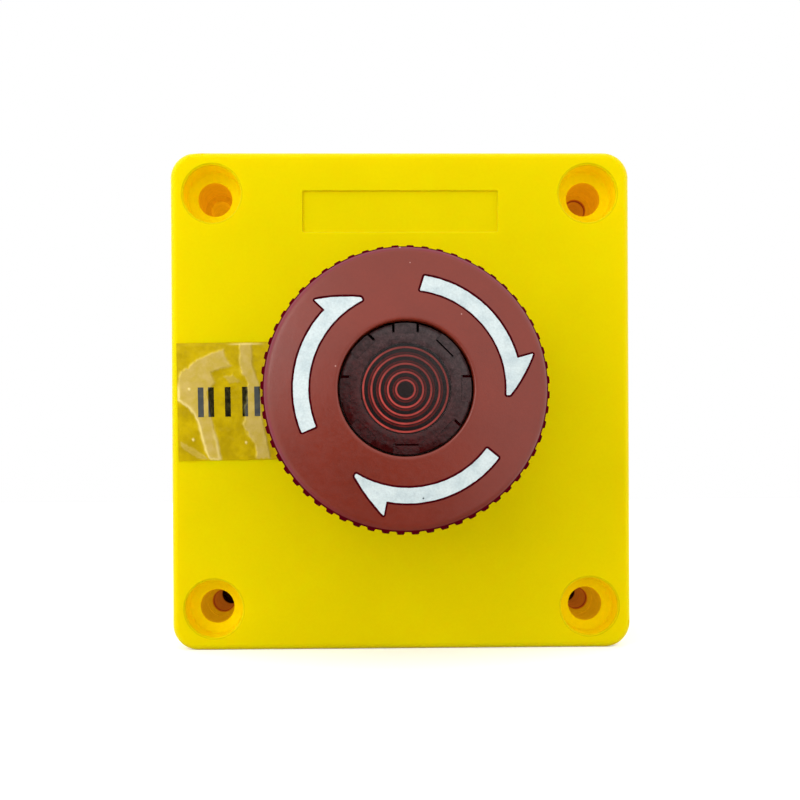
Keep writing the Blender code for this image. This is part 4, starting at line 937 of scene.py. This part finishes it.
def hole_cutter(bm, centre):
    """Counterbore with a rounded mouth, drafted wall and dished floor, then the bore."""
    mouth = 0.35
    profile = [(0, POST_END - 2), (BORE_RADIUS - 0.06, POST_END - 2)]
    low, high, steps = POST_END, -5.2, 30
    for i in range(steps + 1):
        share = i / steps
        profile.append((BORE_RADIUS - 0.06 * (1 - share), low + (high - low) * share))
    profile += [
        (BORE_RADIUS + 0.04, -4.98),
        (BORE_RADIUS + 0.16, -4.86),
        (BORE_RADIUS + 0.36, -4.82),
        (3.5, -4.70),
        (3.95, -COUNTERBORE_DEPTH),
        (COUNTERBORE_RADIUS - 0.34, -COUNTERBORE_DEPTH + 0.12),
        (COUNTERBORE_RADIUS - 0.20, -COUNTERBORE_DEPTH + 0.34),
        (COUNTERBORE_RADIUS - 0.15, -COUNTERBORE_DEPTH + 0.7),
        (COUNTERBORE_RADIUS - 0.02, -mouth),
    ]
    for angle in (15, 30, 45, 60, 75, 85):
        a = math.radians(angle)
        profile.append(
            (COUNTERBORE_RADIUS - 0.02 + mouth * (1 - math.cos(a)), mouth * (math.sin(a) - 1))
        )
    wide = COUNTERBORE_RADIUS + mouth + 0.02
    profile += [(wide, 0.4), (0, 0.4)]
    turned(bm, profile, 72, centre, threaded(centre))


def recess_cutter(bm):
    """The shallow label recess, with soft edges and slightly sloping walls."""
    rings = []
    for inset, height in (
        (0.14, -RECESS_DEPTH), (0.08, -RECESS_DEPTH + 0.03), (0.04, -RECESS_DEPTH + 0.1),
        (0.0, -0.12), (-0.03, -0.05), (-0.09, -0.012), (-0.12, 0.3),
    ):
        outline = rounded_outline(
            RECESS_HALF[0] - inset, RECESS_HALF[1] - inset, max(0.3 - inset, 0.1), 4
        )
        rings.append([(x, y + RECESS_Y, height) for x, y in outline])
    loft(bm, rings)


def nick(bm, place, size, seed):
    """A small irregular lump that takes a nick out of an edge."""
    made = bmesh.ops.create_icosphere(bm, subdivisions=3, radius=1)["verts"]
    for vertex in made:
        wobble = 1 + 0.35 * noise.noise(vertex.co * 1.7 + Vector((seed, 0, 0)))
        vertex.co = Vector(place) + Vector(
            [c * s * wobble for c, s in zip(vertex.co, size)]
        )


def make_cover():
    shell = bmesh.new()
    low = COVER_LOW.z
    rings = [box_ring(PARTING_ROUND, low), box_ring(0.0, low + PARTING_ROUND)]
    for inset, rise in edge_steps(FRONT_ROUND):
        rings.append(box_ring(inset, rise - FRONT_ROUND))
    loft(shell, rings)
    cover = as_object("cover_shell", shell)

    hollow = bmesh.new()
    loft(hollow, [
        box_ring(WALL, low - 1), box_ring(WALL, -PANEL_THICKNESS - 0.8),
        box_ring(WALL + 0.25, -PANEL_THICKNESS - 0.25), box_ring(WALL + 0.8, -PANEL_THICKNESS),
    ])
    combine(cover, hollow)
    for centre in hole_places():
        post = bmesh.new()
        turned(post, [(0, POST_END), (6.0, POST_END), (6.1, POST_END + 0.2),
                      (6.1, -PANEL_THICKNESS / 2), (0, -PANEL_THICKNESS / 2)], 48, centre)
        limit = bmesh.new()
        loft(limit, [box_ring(WALL / 2, POST_END - 1), box_ring(WALL / 2, 0)])
        trimmed = as_object("post", post)
        combine(trimmed, limit, "INTERSECT")
        combine(cover, taken(trimmed), "UNION")
    for centre in hole_places():
        hole = bmesh.new()
        hole_cutter(hole, centre)
        combine(cover, hole)
    openings = bmesh.new()
    turned(openings, [(0, -6), (PANEL_HOLE_RADIUS, -6), (PANEL_HOLE_RADIUS, -0.2),
                      (PANEL_HOLE_RADIUS + 0.2, 0.02), (PANEL_HOLE_RADIUS + 0.2, 1), (0, 1)], 96)
    recess_cutter(openings)
    nick(openings, (-32.3, 39.0, -0.75), (0.85, 0.28, 0.32), 3.0)
    nick(openings, (-30.9, 38.85, -0.45), (0.45, 0.30, 0.25), 8.0)
    nick(openings, (35.75, -35.3, -0.35), (0.16, 0.75, 0.16), 5.0)
    combine(cover, openings)
    clean(cover)
    settle(cover, SLOTS["yellow_plastic"], "station", ["front_cover"])


def slot_outline(half_x, half_y, x, y):
    radius = min(half_x, half_y) * 0.995
    return [(px + x, py + y) for px, py in rounded_outline(half_x, half_y, radius, 10)]


def make_rear_box():
    top = COVER_LOW.z - SEAM
    bottom = REAR_LOW.z
    shell = bmesh.new()
    rings = [box_ring(inset, bottom + BACK_ROUND - rise) for inset, rise in edge_steps(BACK_ROUND)]
    rings.reverse()
    rings += [box_ring(0, top - PARTING_ROUND), box_ring(PARTING_ROUND, top)]
    loft(shell, rings)
    rear = as_object("rear_shell", shell)

    hollow = bmesh.new()
    floor = bottom + 3.0
    loft(hollow, [box_ring(WALL + 0.8, floor), box_ring(WALL + 0.25, floor + 0.25),
                  box_ring(WALL, floor + 0.8), box_ring(WALL, top + 1)])
    combine(rear, hollow)
    post_top = POST_END - SEAM
    for centre in hole_places():
        post = bmesh.new()
        turned(post, [
            (0, bottom + 1.5), (5.2, bottom + 1.5), (5.2, top - 0.8), (3.75, top - 0.8),
            (3.75, post_top - 0.2), (3.55, post_top), (0, post_top),
        ], 40, centre)
        combine(rear, post, "UNION")

    clear_x, clear_y = HOLE_X - 7.1, HOLE_Y - 7.1
    for side in (-1, 1):
        for thin, low, high, trim in ((0.2, -3.0, 3.0, 0.0), (-0.5, -2.8, -1.6, 1.0)):
            tongue = bmesh.new()
            xs = sorted((side * (HALF_X - WALL - thin), side * (HALF_X - WALL - 1.6)))
            ys = sorted((side * (HALF_Y - WALL - thin), side * (HALF_Y - WALL - 1.6)))
            block(tongue, (xs[0], trim - clear_y, top + low), (xs[1], clear_y - trim, top + high))
            block(tongue, (trim - clear_x, ys[0], top + low), (clear_x - trim, ys[1], top + high))
            combine(rear, tongue, "UNION")

    groove = bmesh.new()
    loft(groove, [box_ring(0.6, top - 0.9), box_ring(0.6, top + 1),
                  box_ring(1.9, top + 1), box_ring(1.9, top - 0.9)], closed=True)
    combine(rear, groove)

    for centre in hole_places():
        pilot = bmesh.new()
        turned(pilot, [
            (0, post_top - PILOT_DEPTH), (PILOT_RADIUS, post_top - PILOT_DEPTH + 0.6),
            (PILOT_RADIUS, post_top - 0.25), (PILOT_RADIUS + 0.25, post_top + 0.01),
            (PILOT_RADIUS + 0.25, post_top + 1), (0, post_top + 1),
        ], 36, centre)
        combine(rear, pilot)
    openings = bmesh.new()
    prism(openings, slot_outline(4.5, 2.3, 0, 27), bottom - 1, floor + 1)
    prism(openings, slot_outline(2.3, 4.5, 0, -27), bottom - 1, floor + 1)
    combine(rear, openings)
    knockouts = bmesh.new()
    middle = (bottom + COVER_LOW.z) / 2
    for side in (-1, 1):
        for outer, deep in ((10.2, 1.2), (7.9, 0.5)):
            ring = bmesh.new()
            turned(ring, [(outer - 0.7, HALF_Y - deep), (outer - 0.1, HALF_Y - deep),
                          (outer, HALF_Y - deep + 0.1), (outer, HALF_Y + 1),
                          (outer - 0.8, HALF_Y + 1), (outer - 0.8, HALF_Y - deep + 0.1)], 80)
            for vertex in ring.verts:
                px, py, pz = vertex.co
                vertex.co = (px, side * pz, middle + py)
            part = bpy.data.meshes.new("ring")
            ring.to_mesh(part)
            ring.free()
            knockouts.from_mesh(part)
            bpy.data.meshes.remove(part)
    combine(rear, knockouts)
    clean(rear)
    settle(rear, SLOTS["yellow_plastic"], "station", ["rear_box"])


# ------------------------------------------------------------------ the label film


def inside_distance(px, py, polygon):
    """How far each point lies inside a polygon, in millimetres; outside is negative."""
    best = np.full(px.shape, 1e9)
    inside = np.zeros(px.shape, bool)
    for (x0, y0), (x1, y1) in zip(polygon, polygon[1:] + polygon[:1]):
        dx, dy = x1 - x0, y1 - y0
        t = np.clip(((px - x0) * dx + (py - y0) * dy) / (dx * dx + dy * dy), 0, 1)
        best = np.minimum(best, np.hypot(px - x0 - t * dx, py - y0 - t * dy))
        crosses = (y0 > py) != (y1 > py)
        with np.errstate(divide="ignore", invalid="ignore"):
            cut_x = x0 + (py - y0) * dx / (dy if dy else 1e-9)
        inside ^= crosses & (px < cut_x)
    return np.where(inside, best, -best)


# Where the film stands off the panel, in its own millimetres from its top left corner
RIGHT_BAND = [
    (9.8, 0.2), (11.75, 0.2), (11.75, 3.7), (12.9, 6.9), (13.1, 11.6), (13.6, 14.3),
    (14.3, 18.2), (12.2, 18.2), (12.0, 15.8), (11.1, 14.7), (10.3, 12.8), (11.1, 6.5), (9.9, 4.1),
]
LEFT_BAND = [
    (0.2, 6.3), (0.7, 4.6), (3.1, 2.7), (5.2, 1.8), (7.3, 1.1), (7.6, 2.4), (8.5, 3.7),
    (6.8, 4.0), (5.2, 4.6), (5.8, 6.3), (4.6, 7.6), (5.2, 11.8), (5.8, 14.3), (6.5, 18.2),
    (5.1, 18.2), (4.2, 16.6), (3.9, 15.0), (3.1, 12.0), (1.8, 9.9), (0.1, 8.8),
]
SMALL_PATCH = [(7.3, 5.3), (8.7, 5.1), (9.9, 6.2), (8.2, 6.35)]
LOW_STREAK = [(0.4, 15.4), (2.4, 16.5), (4.7, 18.2), (3.3, 18.2), (1.8, 17.2), (0.4, 16.3)]
DROPS = ((2.35, 15.1, 0.22), (10.6, 15.7, 0.20), (1.9, 7.2, 0.25))


def smoothstep(value, low, high):
    t = np.clip((value - low) / (high - low), 0, 1)
    return t * t * (3 - 2 * t)


def make_film():
    """A thin sheet, finely gridded, that lifts in wrinkles and pockets of air."""
    wide = FILM_HIGH.x - FILM_LOW.x
    tall = FILM_HIGH.y - FILM_LOW.y
    nx, ny = round(wide / FILM_STEP), round(tall / FILM_STEP)
    u, v = np.meshgrid(np.linspace(0, wide, nx + 1), np.linspace(0, tall, ny + 1))
    wobble = np.array([
        [noise.noise(Vector((a * 0.9, b * 0.9, 4))) for a, b in zip(ra, rb)]
        for ra, rb in zip(u, v)
    ])
    fine = np.array([
        [noise.noise(Vector((a * 2.6, b * 1.4, 11))) for a, b in zip(ra, rb)]
        for ra, rb in zip(u, v)
    ])
    px, py = u + 0.22 * wobble, v + 0.22 * fine
    bands = np.maximum(
        inside_distance(px, py, RIGHT_BAND), inside_distance(px, py, LEFT_BAND)
    )
    small = np.maximum(
        inside_distance(px, py, SMALL_PATCH), inside_distance(px, py, LOW_STREAK)
    )
    raised = np.maximum(smoothstep(bands, -0.06, 0.12), 0.6 * smoothstep(small, -0.1, 0.15))
    ridge = np.exp(-((bands / 0.16) ** 2)) * (0.35 + 0.65 * smoothstep(wobble, -0.3, 0.4))
    lower_left = smoothstep(v - 1.35 * u, 5.5, 7.5) * np.exp(-((bands / 0.2) ** 2))
    drops = np.zeros(u.shape)
    for cx, cy, size in DROPS:
        away = np.hypot((u - cx) * 1.3, v - cy)
        drops = np.maximum(drops, smoothstep(-away, -size * 1.4, -size * 0.5))
    top_line = np.exp(-(((v - 0.28) / 0.12) ** 2)) * smoothstep(np.abs(u - 10.8), 3.2, 1.4)
    # Painted highlight: along the creases, the bands' lower left edges, the drops and a line at
    # the top
    crease_highlight = np.clip(0.55 * lower_left + 0.16 * ridge + drops * 0.9 + 0.5 * top_line, 0, 1)
    height = FILM_LIFT + 0.11 * raised + 0.06 * ridge + 0.05 * lower_left + 0.08 * drops
    height += 0.020 * (wobble + fine) + 0.03 * top_line
    edge = np.minimum(np.minimum(u, wide - u), np.minimum(v, tall - v))
    height = FILM_EDGE_LIFT + (height - FILM_EDGE_LIFT) * smoothstep(edge, 0.0, 0.5)

    turn = math.radians(FILM_TILT)
    cu, cv = u - wide / 2, tall / 2 - v
    x = (FILM_LOW.x + FILM_HIGH.x) / 2 + cu * math.cos(turn) - cv * math.sin(turn)
    y = (FILM_LOW.y + FILM_HIGH.y) / 2 + cu * math.sin(turn) + cv * math.cos(turn)
    bm = bmesh.new()
    uv_layer = bm.loops.layers.uv.new("film_place")
    layers = [bm.verts.layers.float.new(key) for key in ("raised", "crease_highlight")]
    sheets = []
    for lift in (0.0, FILM_THICKNESS):
        sheet = []
        for row in range(ny + 1):
            line = []
            for column in range(nx + 1):
                z = max(height[row, column], 0.03) + lift
                vertex = bm.verts.new((x[row, column], y[row, column], z))
                vertex[layers[0]] = raised[row, column]
                vertex[layers[1]] = crease_highlight[row, column]
                line.append(vertex)
            sheet.append(line)
        sheets.append(sheet)
    place = {}
    for sheet in sheets:
        for row, line in enumerate(sheet):
            for column, vertex in enumerate(line):
                place[vertex] = (u[row, column], v[row, column])
        for a, b in zip(sheet, sheet[1:]):
            for i in range(nx):
                bm.faces.new((a[i], a[i + 1], b[i + 1], b[i]))
    under, over = sheets
    rims = []
    for sheet in (under, over):
        rims.append(
            sheet[0][:-1] + [line[-1] for line in sheet[:-1]]
            + sheet[-1][:0:-1] + [line[0] for line in sheet[:0:-1]]
        )
    for i in range(len(rims[0])):
        n = (i + 1) % len(rims[0])
        bm.faces.new((rims[0][i], rims[0][n], rims[1][n], rims[1][i]))
    for face in bm.faces:
        for corner in face.loops:
            corner[uv_layer].uv = place[corner.vert]
    film = as_object("label_film", bm)
    settle(film, SLOTS["clear_film"], "station", ["stop_label"], sharp=60)


# ------------------------------------------------------------------ the head


def tooth_share(angle):
    """1 on a tooth's tip and 0 in the gap, with rounded flanks."""
    phase = ((angle - TOOTH_TURN) * TEETH / (2 * math.pi)) % 1.0
    away = min(phase, 1 - phase)
    t = min(max((0.31 - away) / 0.10, 0.0), 1.0)
    return t * t * (3 - 2 * t)


def knurl(radius, height, angle):
    """Adds a tooth to the head's side wall, fading out at its top and bottom."""
    side = HEAD_RADIUS - TOOTH_HEIGHT
    if radius < side - 0.02:
        return radius
    top = min(max((TEETH_TOP + TEETH_FADE - height) / TEETH_FADE, 0.0), 1.0)
    bottom = min(max((height - (HEAD_LOW.z + 0.95)) / 0.5, 0.0), 1.0)
    rise = math.sqrt(max(0.0, 1 - (1 - top) ** 2)) * math.sqrt(max(0.0, 1 - (1 - bottom) ** 2))
    return radius + TOOTH_HEIGHT * tooth_share(angle) * rise


def head_profile():
    side = HEAD_RADIUS - TOOTH_HEIGHT
    round_x = side - EDGE_ROUND
    sphere = DOME_TOP - DOME_RADIUS
    reach = DOME_RADIUS - EDGE_ROUND
    round_z = sphere + math.sqrt(reach**2 - round_x**2)
    lean = math.degrees(math.asin(round_x / reach))
    touch = DOME_RADIUS * round_x / reach
    foot = HEAD_LOW.z
    profile = [
        (HEAD_BORE, 18.2), (HUB_RADIUS - 0.2, 18.2), (HUB_RADIUS, 18.4), (HUB_RADIUS, 25.5),
        (16.4, 25.5), (17.0, 25.25), (SKIRT_INNER, 24.6), (SKIRT_INNER, foot + 0.3),
        (SKIRT_INNER + 0.2, foot), (side - 0.5, foot),
        (side - 0.15, foot + 0.15), (side, foot + 0.5),
    ]
    low, middle, full = foot + 0.9, 19.4, TEETH_TOP - 0.05
    profile += [(side, low + 0.6 * i / 5) for i in range(6)]
    profile += [(side, middle + (full - middle) * i / 6) for i in range(7)]
    profile += [(side, full + (TEETH_FADE + 0.1) * (i + 1) / 8) for i in range(8)]
    profile += arc((round_x, round_z), EDGE_ROUND, 0, 90 - lean, 10)
    steps = 26
    inner = OPENING_RADIUS + 0.28
    for i in range(1, steps + 1):
        radius = touch + (inner - touch) * i / steps
        profile.append((radius, dome_height(radius)))
    rim = dome_height(inner)
    profile += [
        (OPENING_RADIUS + 0.14, rim - 0.03), (OPENING_RADIUS + 0.05, rim - 0.10),
        (OPENING_RADIUS, rim - 0.24), (OPENING_RADIUS, LENS_LEDGE), (HEAD_BORE, LENS_LEDGE),
    ]
    return profile


def arrow_layer(name, outline, low, high):
    """A body with the arrow's outline, between two heights over the dome."""
    radii = [12.0 + 0.4 * i for i in range(18)]
    profile = [(r, dome_height(r) + low) for r in radii]
    profile += [(r, dome_height(r) + high) for r in reversed(radii)]
    layer = bmesh.new()
    turned(layer, profile, 180)
    bm = bmesh.new()
    prism(bm, outline, DOME_TOP - 5, DOME_TOP + 2)
    made = as_object(name, bm)
    combine(made, layer, "INTERSECT")
    return made


def make_head():
    body = bmesh.new()
    turned(body, head_profile(), TEETH * 14, shape=knurl)
    head = as_object("head_cap", body)
    for index in range(len(ARROWS)):
        outline = roughened(pushed(arrow_outline(index), ARROW_GROOVE), 0.025, 40 + index)
        combine(head, taken(arrow_layer("pocket", outline, -ARROW_DEPTH, 0.6)))
    clean(head)
    groove = []
    for polygon in head.data.polygons:
        centre = polygon.center
        radius = math.hypot(centre.x, centre.y)
        in_band = ARROW_INNER - 0.9 < radius < ARROWS[0].reach + 0.6 and centre.z > 26
        groove.append(int(in_band and centre.z < dome_height(radius) - 0.02))
    settle(head, [SLOTS["red_plastic"], groove_shade()], "twist_head",
           ["mushroom_head"])
    head.data.polygons.foreach_set("material_index", groove)


def make_arrows():
    """Paint that fills each pocket to just under the dome, with an uneven edge."""
    for index in range(len(ARROWS)):
        outline = roughened(arrow_outline(index), 0.04, 3 + 7 * index)
        paint = arrow_layer(f"arrow_paint_{index + 1}", outline, 0.02 - ARROW_DEPTH, -0.05)
        clean(paint)
        settle(paint, SLOTS["white_inlay"], "twist_head",
               [f"arrow_inlay_{index + 1}"])


# ------------------------------------------------------------------ the lens


def make_lens():
    top, low = LENS_HIGH.z, LENS_LOW.z
    under = top - 1.5
    profile = [
        (0, under), (LENS_BORE, under), (LENS_BORE, low), (LENS_RADIUS - 0.1, low),
        (LENS_RADIUS, low + 0.1), (LENS_RADIUS, top - 0.16),
        (LENS_RADIUS - 0.05, top - 0.05), (LENS_RADIUS - 0.16, top),
        (8.0, top), (7.0, top), (6.45, top),
        (6.3, top - 0.02), (WINDOW_RADIUS, top - 0.02), (0, top - 0.02),
    ]
    cap = bmesh.new()
    turned(cap, profile, 160)
    lens = as_object("lens_cap", cap)
    inner = math.sqrt(LENS_RADIUS**2 - POCKET_HALF_WIDTH**2) - POCKET_LENGTH + 0.14
    outer = LENS_RADIUS + 1
    for index in range(POCKETS):
        spin = Matrix.Rotation(2 * math.pi * index / POCKETS, 3, "Z")
        places = [(inner, outer, -POCKET_HALF_WIDTH, POCKET_HALF_WIDTH, POCKET_DEPTH)]
        for end in POCKET_SLOTS[index]:
            if end == "inner":
                places.append((inner, inner + 0.2, 0.3 - POCKET_HALF_WIDTH,
                               POCKET_HALF_WIDTH - 0.1, POCKET_SLOT_DEPTH))
                continue
            sides = sorted(end * (POCKET_HALF_WIDTH + far) for far in (0.03, -POCKET_SLOT_WIDTH))
            places.append((inner + 0.15, outer, *sides, POCKET_SLOT_DEPTH))
        for near, far, low_side, high_side, depth in places:
            rings = []
            for grow, height in ((-0.02, -depth), (0.0, -0.08), (0.03, -0.01), (0.05, 0.4)):
                corners = [
                    (near - grow, low_side - grow), (far + grow, low_side - grow),
                    (far + grow, high_side + grow), (near - grow, high_side + grow),
                ]
                rings.append([spin @ Vector((px, py, top + height)) for px, py in corners])
            pocket = bmesh.new()
            loft(pocket, rings)
            combine(lens, pocket)
    clean(lens)
    settle(lens, SLOTS["smoked_lens"], "twist_head", ["lens"])

    plate = bmesh.new()
    profile = [(0, low + 0.05), (7.6, low + 0.05), (7.6, low + 0.4), (6.3, low + 0.4)]
    valley, crest = low + 0.30, low + 0.72
    rings = []
    for index in reversed(range(RING_COUNT)):
        middle = RING_FIRST + RING_PITCH * index
        rings += [(middle + 0.34, valley), (middle + 0.10, crest - 0.06), (middle, crest),
                  (middle - 0.10, crest - 0.06), (middle - 0.30, valley)]
    profile += rings + [(0, valley + 0.1)]
    turned(plate, profile, 144)
    ridges = as_object("lens_ridges", plate)
    settle(ridges, lens_rings_painted_light(), "twist_head", ["lens"], sharp=60)


# ------------------------------------------------------------------ the operator


def make_operator():
    """The collar and neck that stand between the panel and the head, and the tube."""
    foot = 1.0                                  # the panel gasket's thickness
    tube = bmesh.new()
    profile = [
        (TUBE_BORE, COLLAR_LOW.z), (TUBE_RADIUS - 0.5, COLLAR_LOW.z),
        (TUBE_RADIUS, COLLAR_LOW.z + 0.5), (TUBE_RADIUS, -4.2),
        (TUBE_RADIUS, foot), (14.55, foot), (COLLAR_RADIUS, foot + 0.2), (COLLAR_RADIUS, 6.3),
        (14.6, 6.9), (14.15, 7.6), (13.5, 8.0), (13.0, 8.15), (NECK_RADIUS, 8.4),
        (NECK_RADIUS, COLLAR_HIGH.z - 0.4),
        (12.45, COLLAR_HIGH.z - 0.1), (12.2, COLLAR_HIGH.z), (11.4, COLLAR_HIGH.z),
        (11.2, COLLAR_HIGH.z - 0.2), (11.2, 2.9), (10.1, 2.9), (10.1, 1.1), (TUBE_BORE, 1.1),
    ]

    def grip(radius, height, angle):
        if radius < 14.5 or not 1.3 < height < 6.2:
            return radius
        return radius - 0.16 * max(0.0, math.cos(angle * COLLAR_GRIPS)) ** 2

    refined = []
    for (here, height), (after, _) in zip(profile, profile[1:] + profile[:1]):
        refined.append((here, height))
        if here == after == COLLAR_RADIUS:
            refined += [(COLLAR_RADIUS, grip_height) for grip_height in (1.35, 1.7, 5.8, 6.15)]
    turned(tube, refined, 288, shape=grip)
    body = as_object("operator_collar", tube)
    for side in (-1, 1):
        slot = bmesh.new()
        xs = sorted((side * 8.0, side * 12.0))
        block(slot, (xs[0], -7.7, -10.0), (xs[1], 7.7, -8.6))
        combine(body, slot)
    clean(body)
    settle(body, SLOTS["black_plastic"], "station", ["operator_body"])


def spring(name, node, turns, wire):
    """A coil that fills the CAD spring's place.

    wire is the wire's radius. The last DEAD_TURN at each end lies nearly flat, as on a real
    compression spring, and rises just enough to clear the wire under it.
    """
    low, high = extent(node)
    radius = (high.x - low.x) / 2 - wire
    centre = ((high.x + low.x) / 2, (high.y + low.y) / 2)
    bottom, top = low.z + wire, high.z - wire
    end_rise = 2.1 * wire
    sides = COIL_SIDES
    count = int(turns * COIL_STEPS)
    rows = []
    for i in range(count + 1):
        share = i / count
        turn = share * turns
        active = min(max((turn - DEAD_TURN) / (turns - 2 * DEAD_TURN), 0.0), 1.0)
        first = min(turn, DEAD_TURN) / DEAD_TURN
        last = min(max(turn - turns + DEAD_TURN, 0), DEAD_TURN) / DEAD_TURN
        height = bottom + end_rise * (first + last) + (top - bottom - 2 * end_rise) * active
        angle = 2 * math.pi * turn
        out = Vector((math.cos(angle), math.sin(angle), 0))
        middle = Vector((*centre, height)) + out * radius
        rows.append([
            middle + out * wire * math.cos(2 * math.pi * k / sides)
            + Vector((0, 0, wire * math.sin(2 * math.pi * k / sides)))
            for k in range(sides)
        ])
    bm = bmesh.new()
    loft(bm, rows)
    made = as_object(name, bm)
    settle(made, SLOTS["spring_steel"], "station", [node], sharp=60)
    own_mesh(made)


def make_springs():
    spring("return_coil", "return_spring", turns=6.5, wire=0.5)
    for name in ("nc", "no"):
        spring(f"{name}_coil", f"{name}_spring", turns=7.5, wire=0.25)


# ------------------------------------------------------------------ kept CAD nodes


def dress_kept_nodes():
    """Each CAD node that is still shown takes the finish its record names."""
    for part in frame["record"]["subparts"]:
        node = frame["nodes"][part["node"]]
        if node.hide_render:
            continue
        node.data.materials.clear()
        node.data.materials.append(SLOTS[part["material_slot"]])


# ------------------------------------------------------------------ stage, light, camera


def make_stage():
    bm = bmesh.new()
    half = 1200.0
    block(bm, (-half, -half, -4), (half, half, 0))
    floor = as_object("floor", bm)
    to_world = Matrix.Scale(1 / MILLIMETRES, 4)
    floor.data.transform(to_world @ Matrix.Translation((0, 0, -HALF_Y)))
    floor.data.materials.append(floor_white())


# Which way the photographer's dark shape lies from the object, and how wide it is each way
SHADE_CENTRE = (-0.14, -0.93, -0.40)
SHADE_SIZE = (0.32, 1.0, 0.38)
SHADE_EDGE = (1.15, 1.5)
SHADE_STRENGTH = (0.03, 1.25)


def make_world():
    """A white room: plain white to the camera, and dark where the photographer stands."""
    world = bpy.data.worlds.new("studio")
    bpy.context.scene.world = world
    world.use_nodes = True
    world.node_tree.nodes.clear()
    s = Nodes(world.node_tree)
    way = s.node("ShaderNodeTexCoord").outputs["Generated"]
    offset = s.vector("DIVIDE", s.vector("SUBTRACT", way, SHADE_CENTRE), SHADE_SIZE)
    away = s.vector("LENGTH", offset)
    room = s.remap(away, *SHADE_EDGE, *SHADE_STRENGTH)
    floor_light = s.remap(s.split(way)[2], -0.75, -0.45, 0.15, 1, smooth=False)
    white, strength = (1, 1, 1), s.times(room, floor_light)
    lit = s.node("ShaderNodeBackground", {"Color": white, "Strength": strength})
    seen = s.node("ShaderNodeBackground", {"Color": white, "Strength": 1.0})
    rays = s.node("ShaderNodeLightPath").outputs
    both = s.mix_shader(
        rays["Is Camera Ray"], lit.outputs["Background"], seen.outputs["Background"]
    )
    s.feed(s.node("ShaderNodeOutputWorld").inputs["Surface"], both)


def make_light():
    """A soft key light from the upper left, aimed at the panel's middle."""
    place, target = Vector((-0.30, PANEL_Y - 0.30, 0.14)), Vector((0, PANEL_Y, 0))
    light = bpy.data.lights.new("key", "AREA")
    light.shape = "SQUARE"
    light.size = 0.25
    light.energy = 0.42
    made = bpy.data.objects.new("key", light)
    made.location = place
    made.rotation_euler = (target - place).to_track_quat("-Z", "Y").to_euler()
    bpy.context.scene.collection.objects.link(made)


# Where the photographer stood: just left of the head's axis and a little low
CAMERA_PLACE = (-0.00467, PANEL_Y - 0.21265, -0.01195)
CAMERA_TURN = (89.801, 0.305, -1.281)
CAMERA_LENS = 60.955
CAMERA_SHIFT = (-0.0028, 0.1017)


def make_camera():
    camera = bpy.data.cameras.new("camera")
    camera.sensor_width = 36.0
    camera.lens = CAMERA_LENS
    camera.shift_x, camera.shift_y = CAMERA_SHIFT
    camera.clip_start = 0.01
    camera.clip_end = 20.0
    made = bpy.data.objects.new("camera", camera)
    made.location = CAMERA_PLACE
    made.rotation_euler = [math.radians(angle) for angle in CAMERA_TURN]
    bpy.context.scene.collection.objects.link(made)
    bpy.context.scene.camera = made
    bpy.context.scene.view_settings.view_transform = "Standard"


make_cover()
make_rear_box()
make_film()
make_head()
make_arrows()
make_lens()
make_operator()
make_springs()
dress_kept_nodes()
make_stage()
make_world()
make_light()
make_camera()
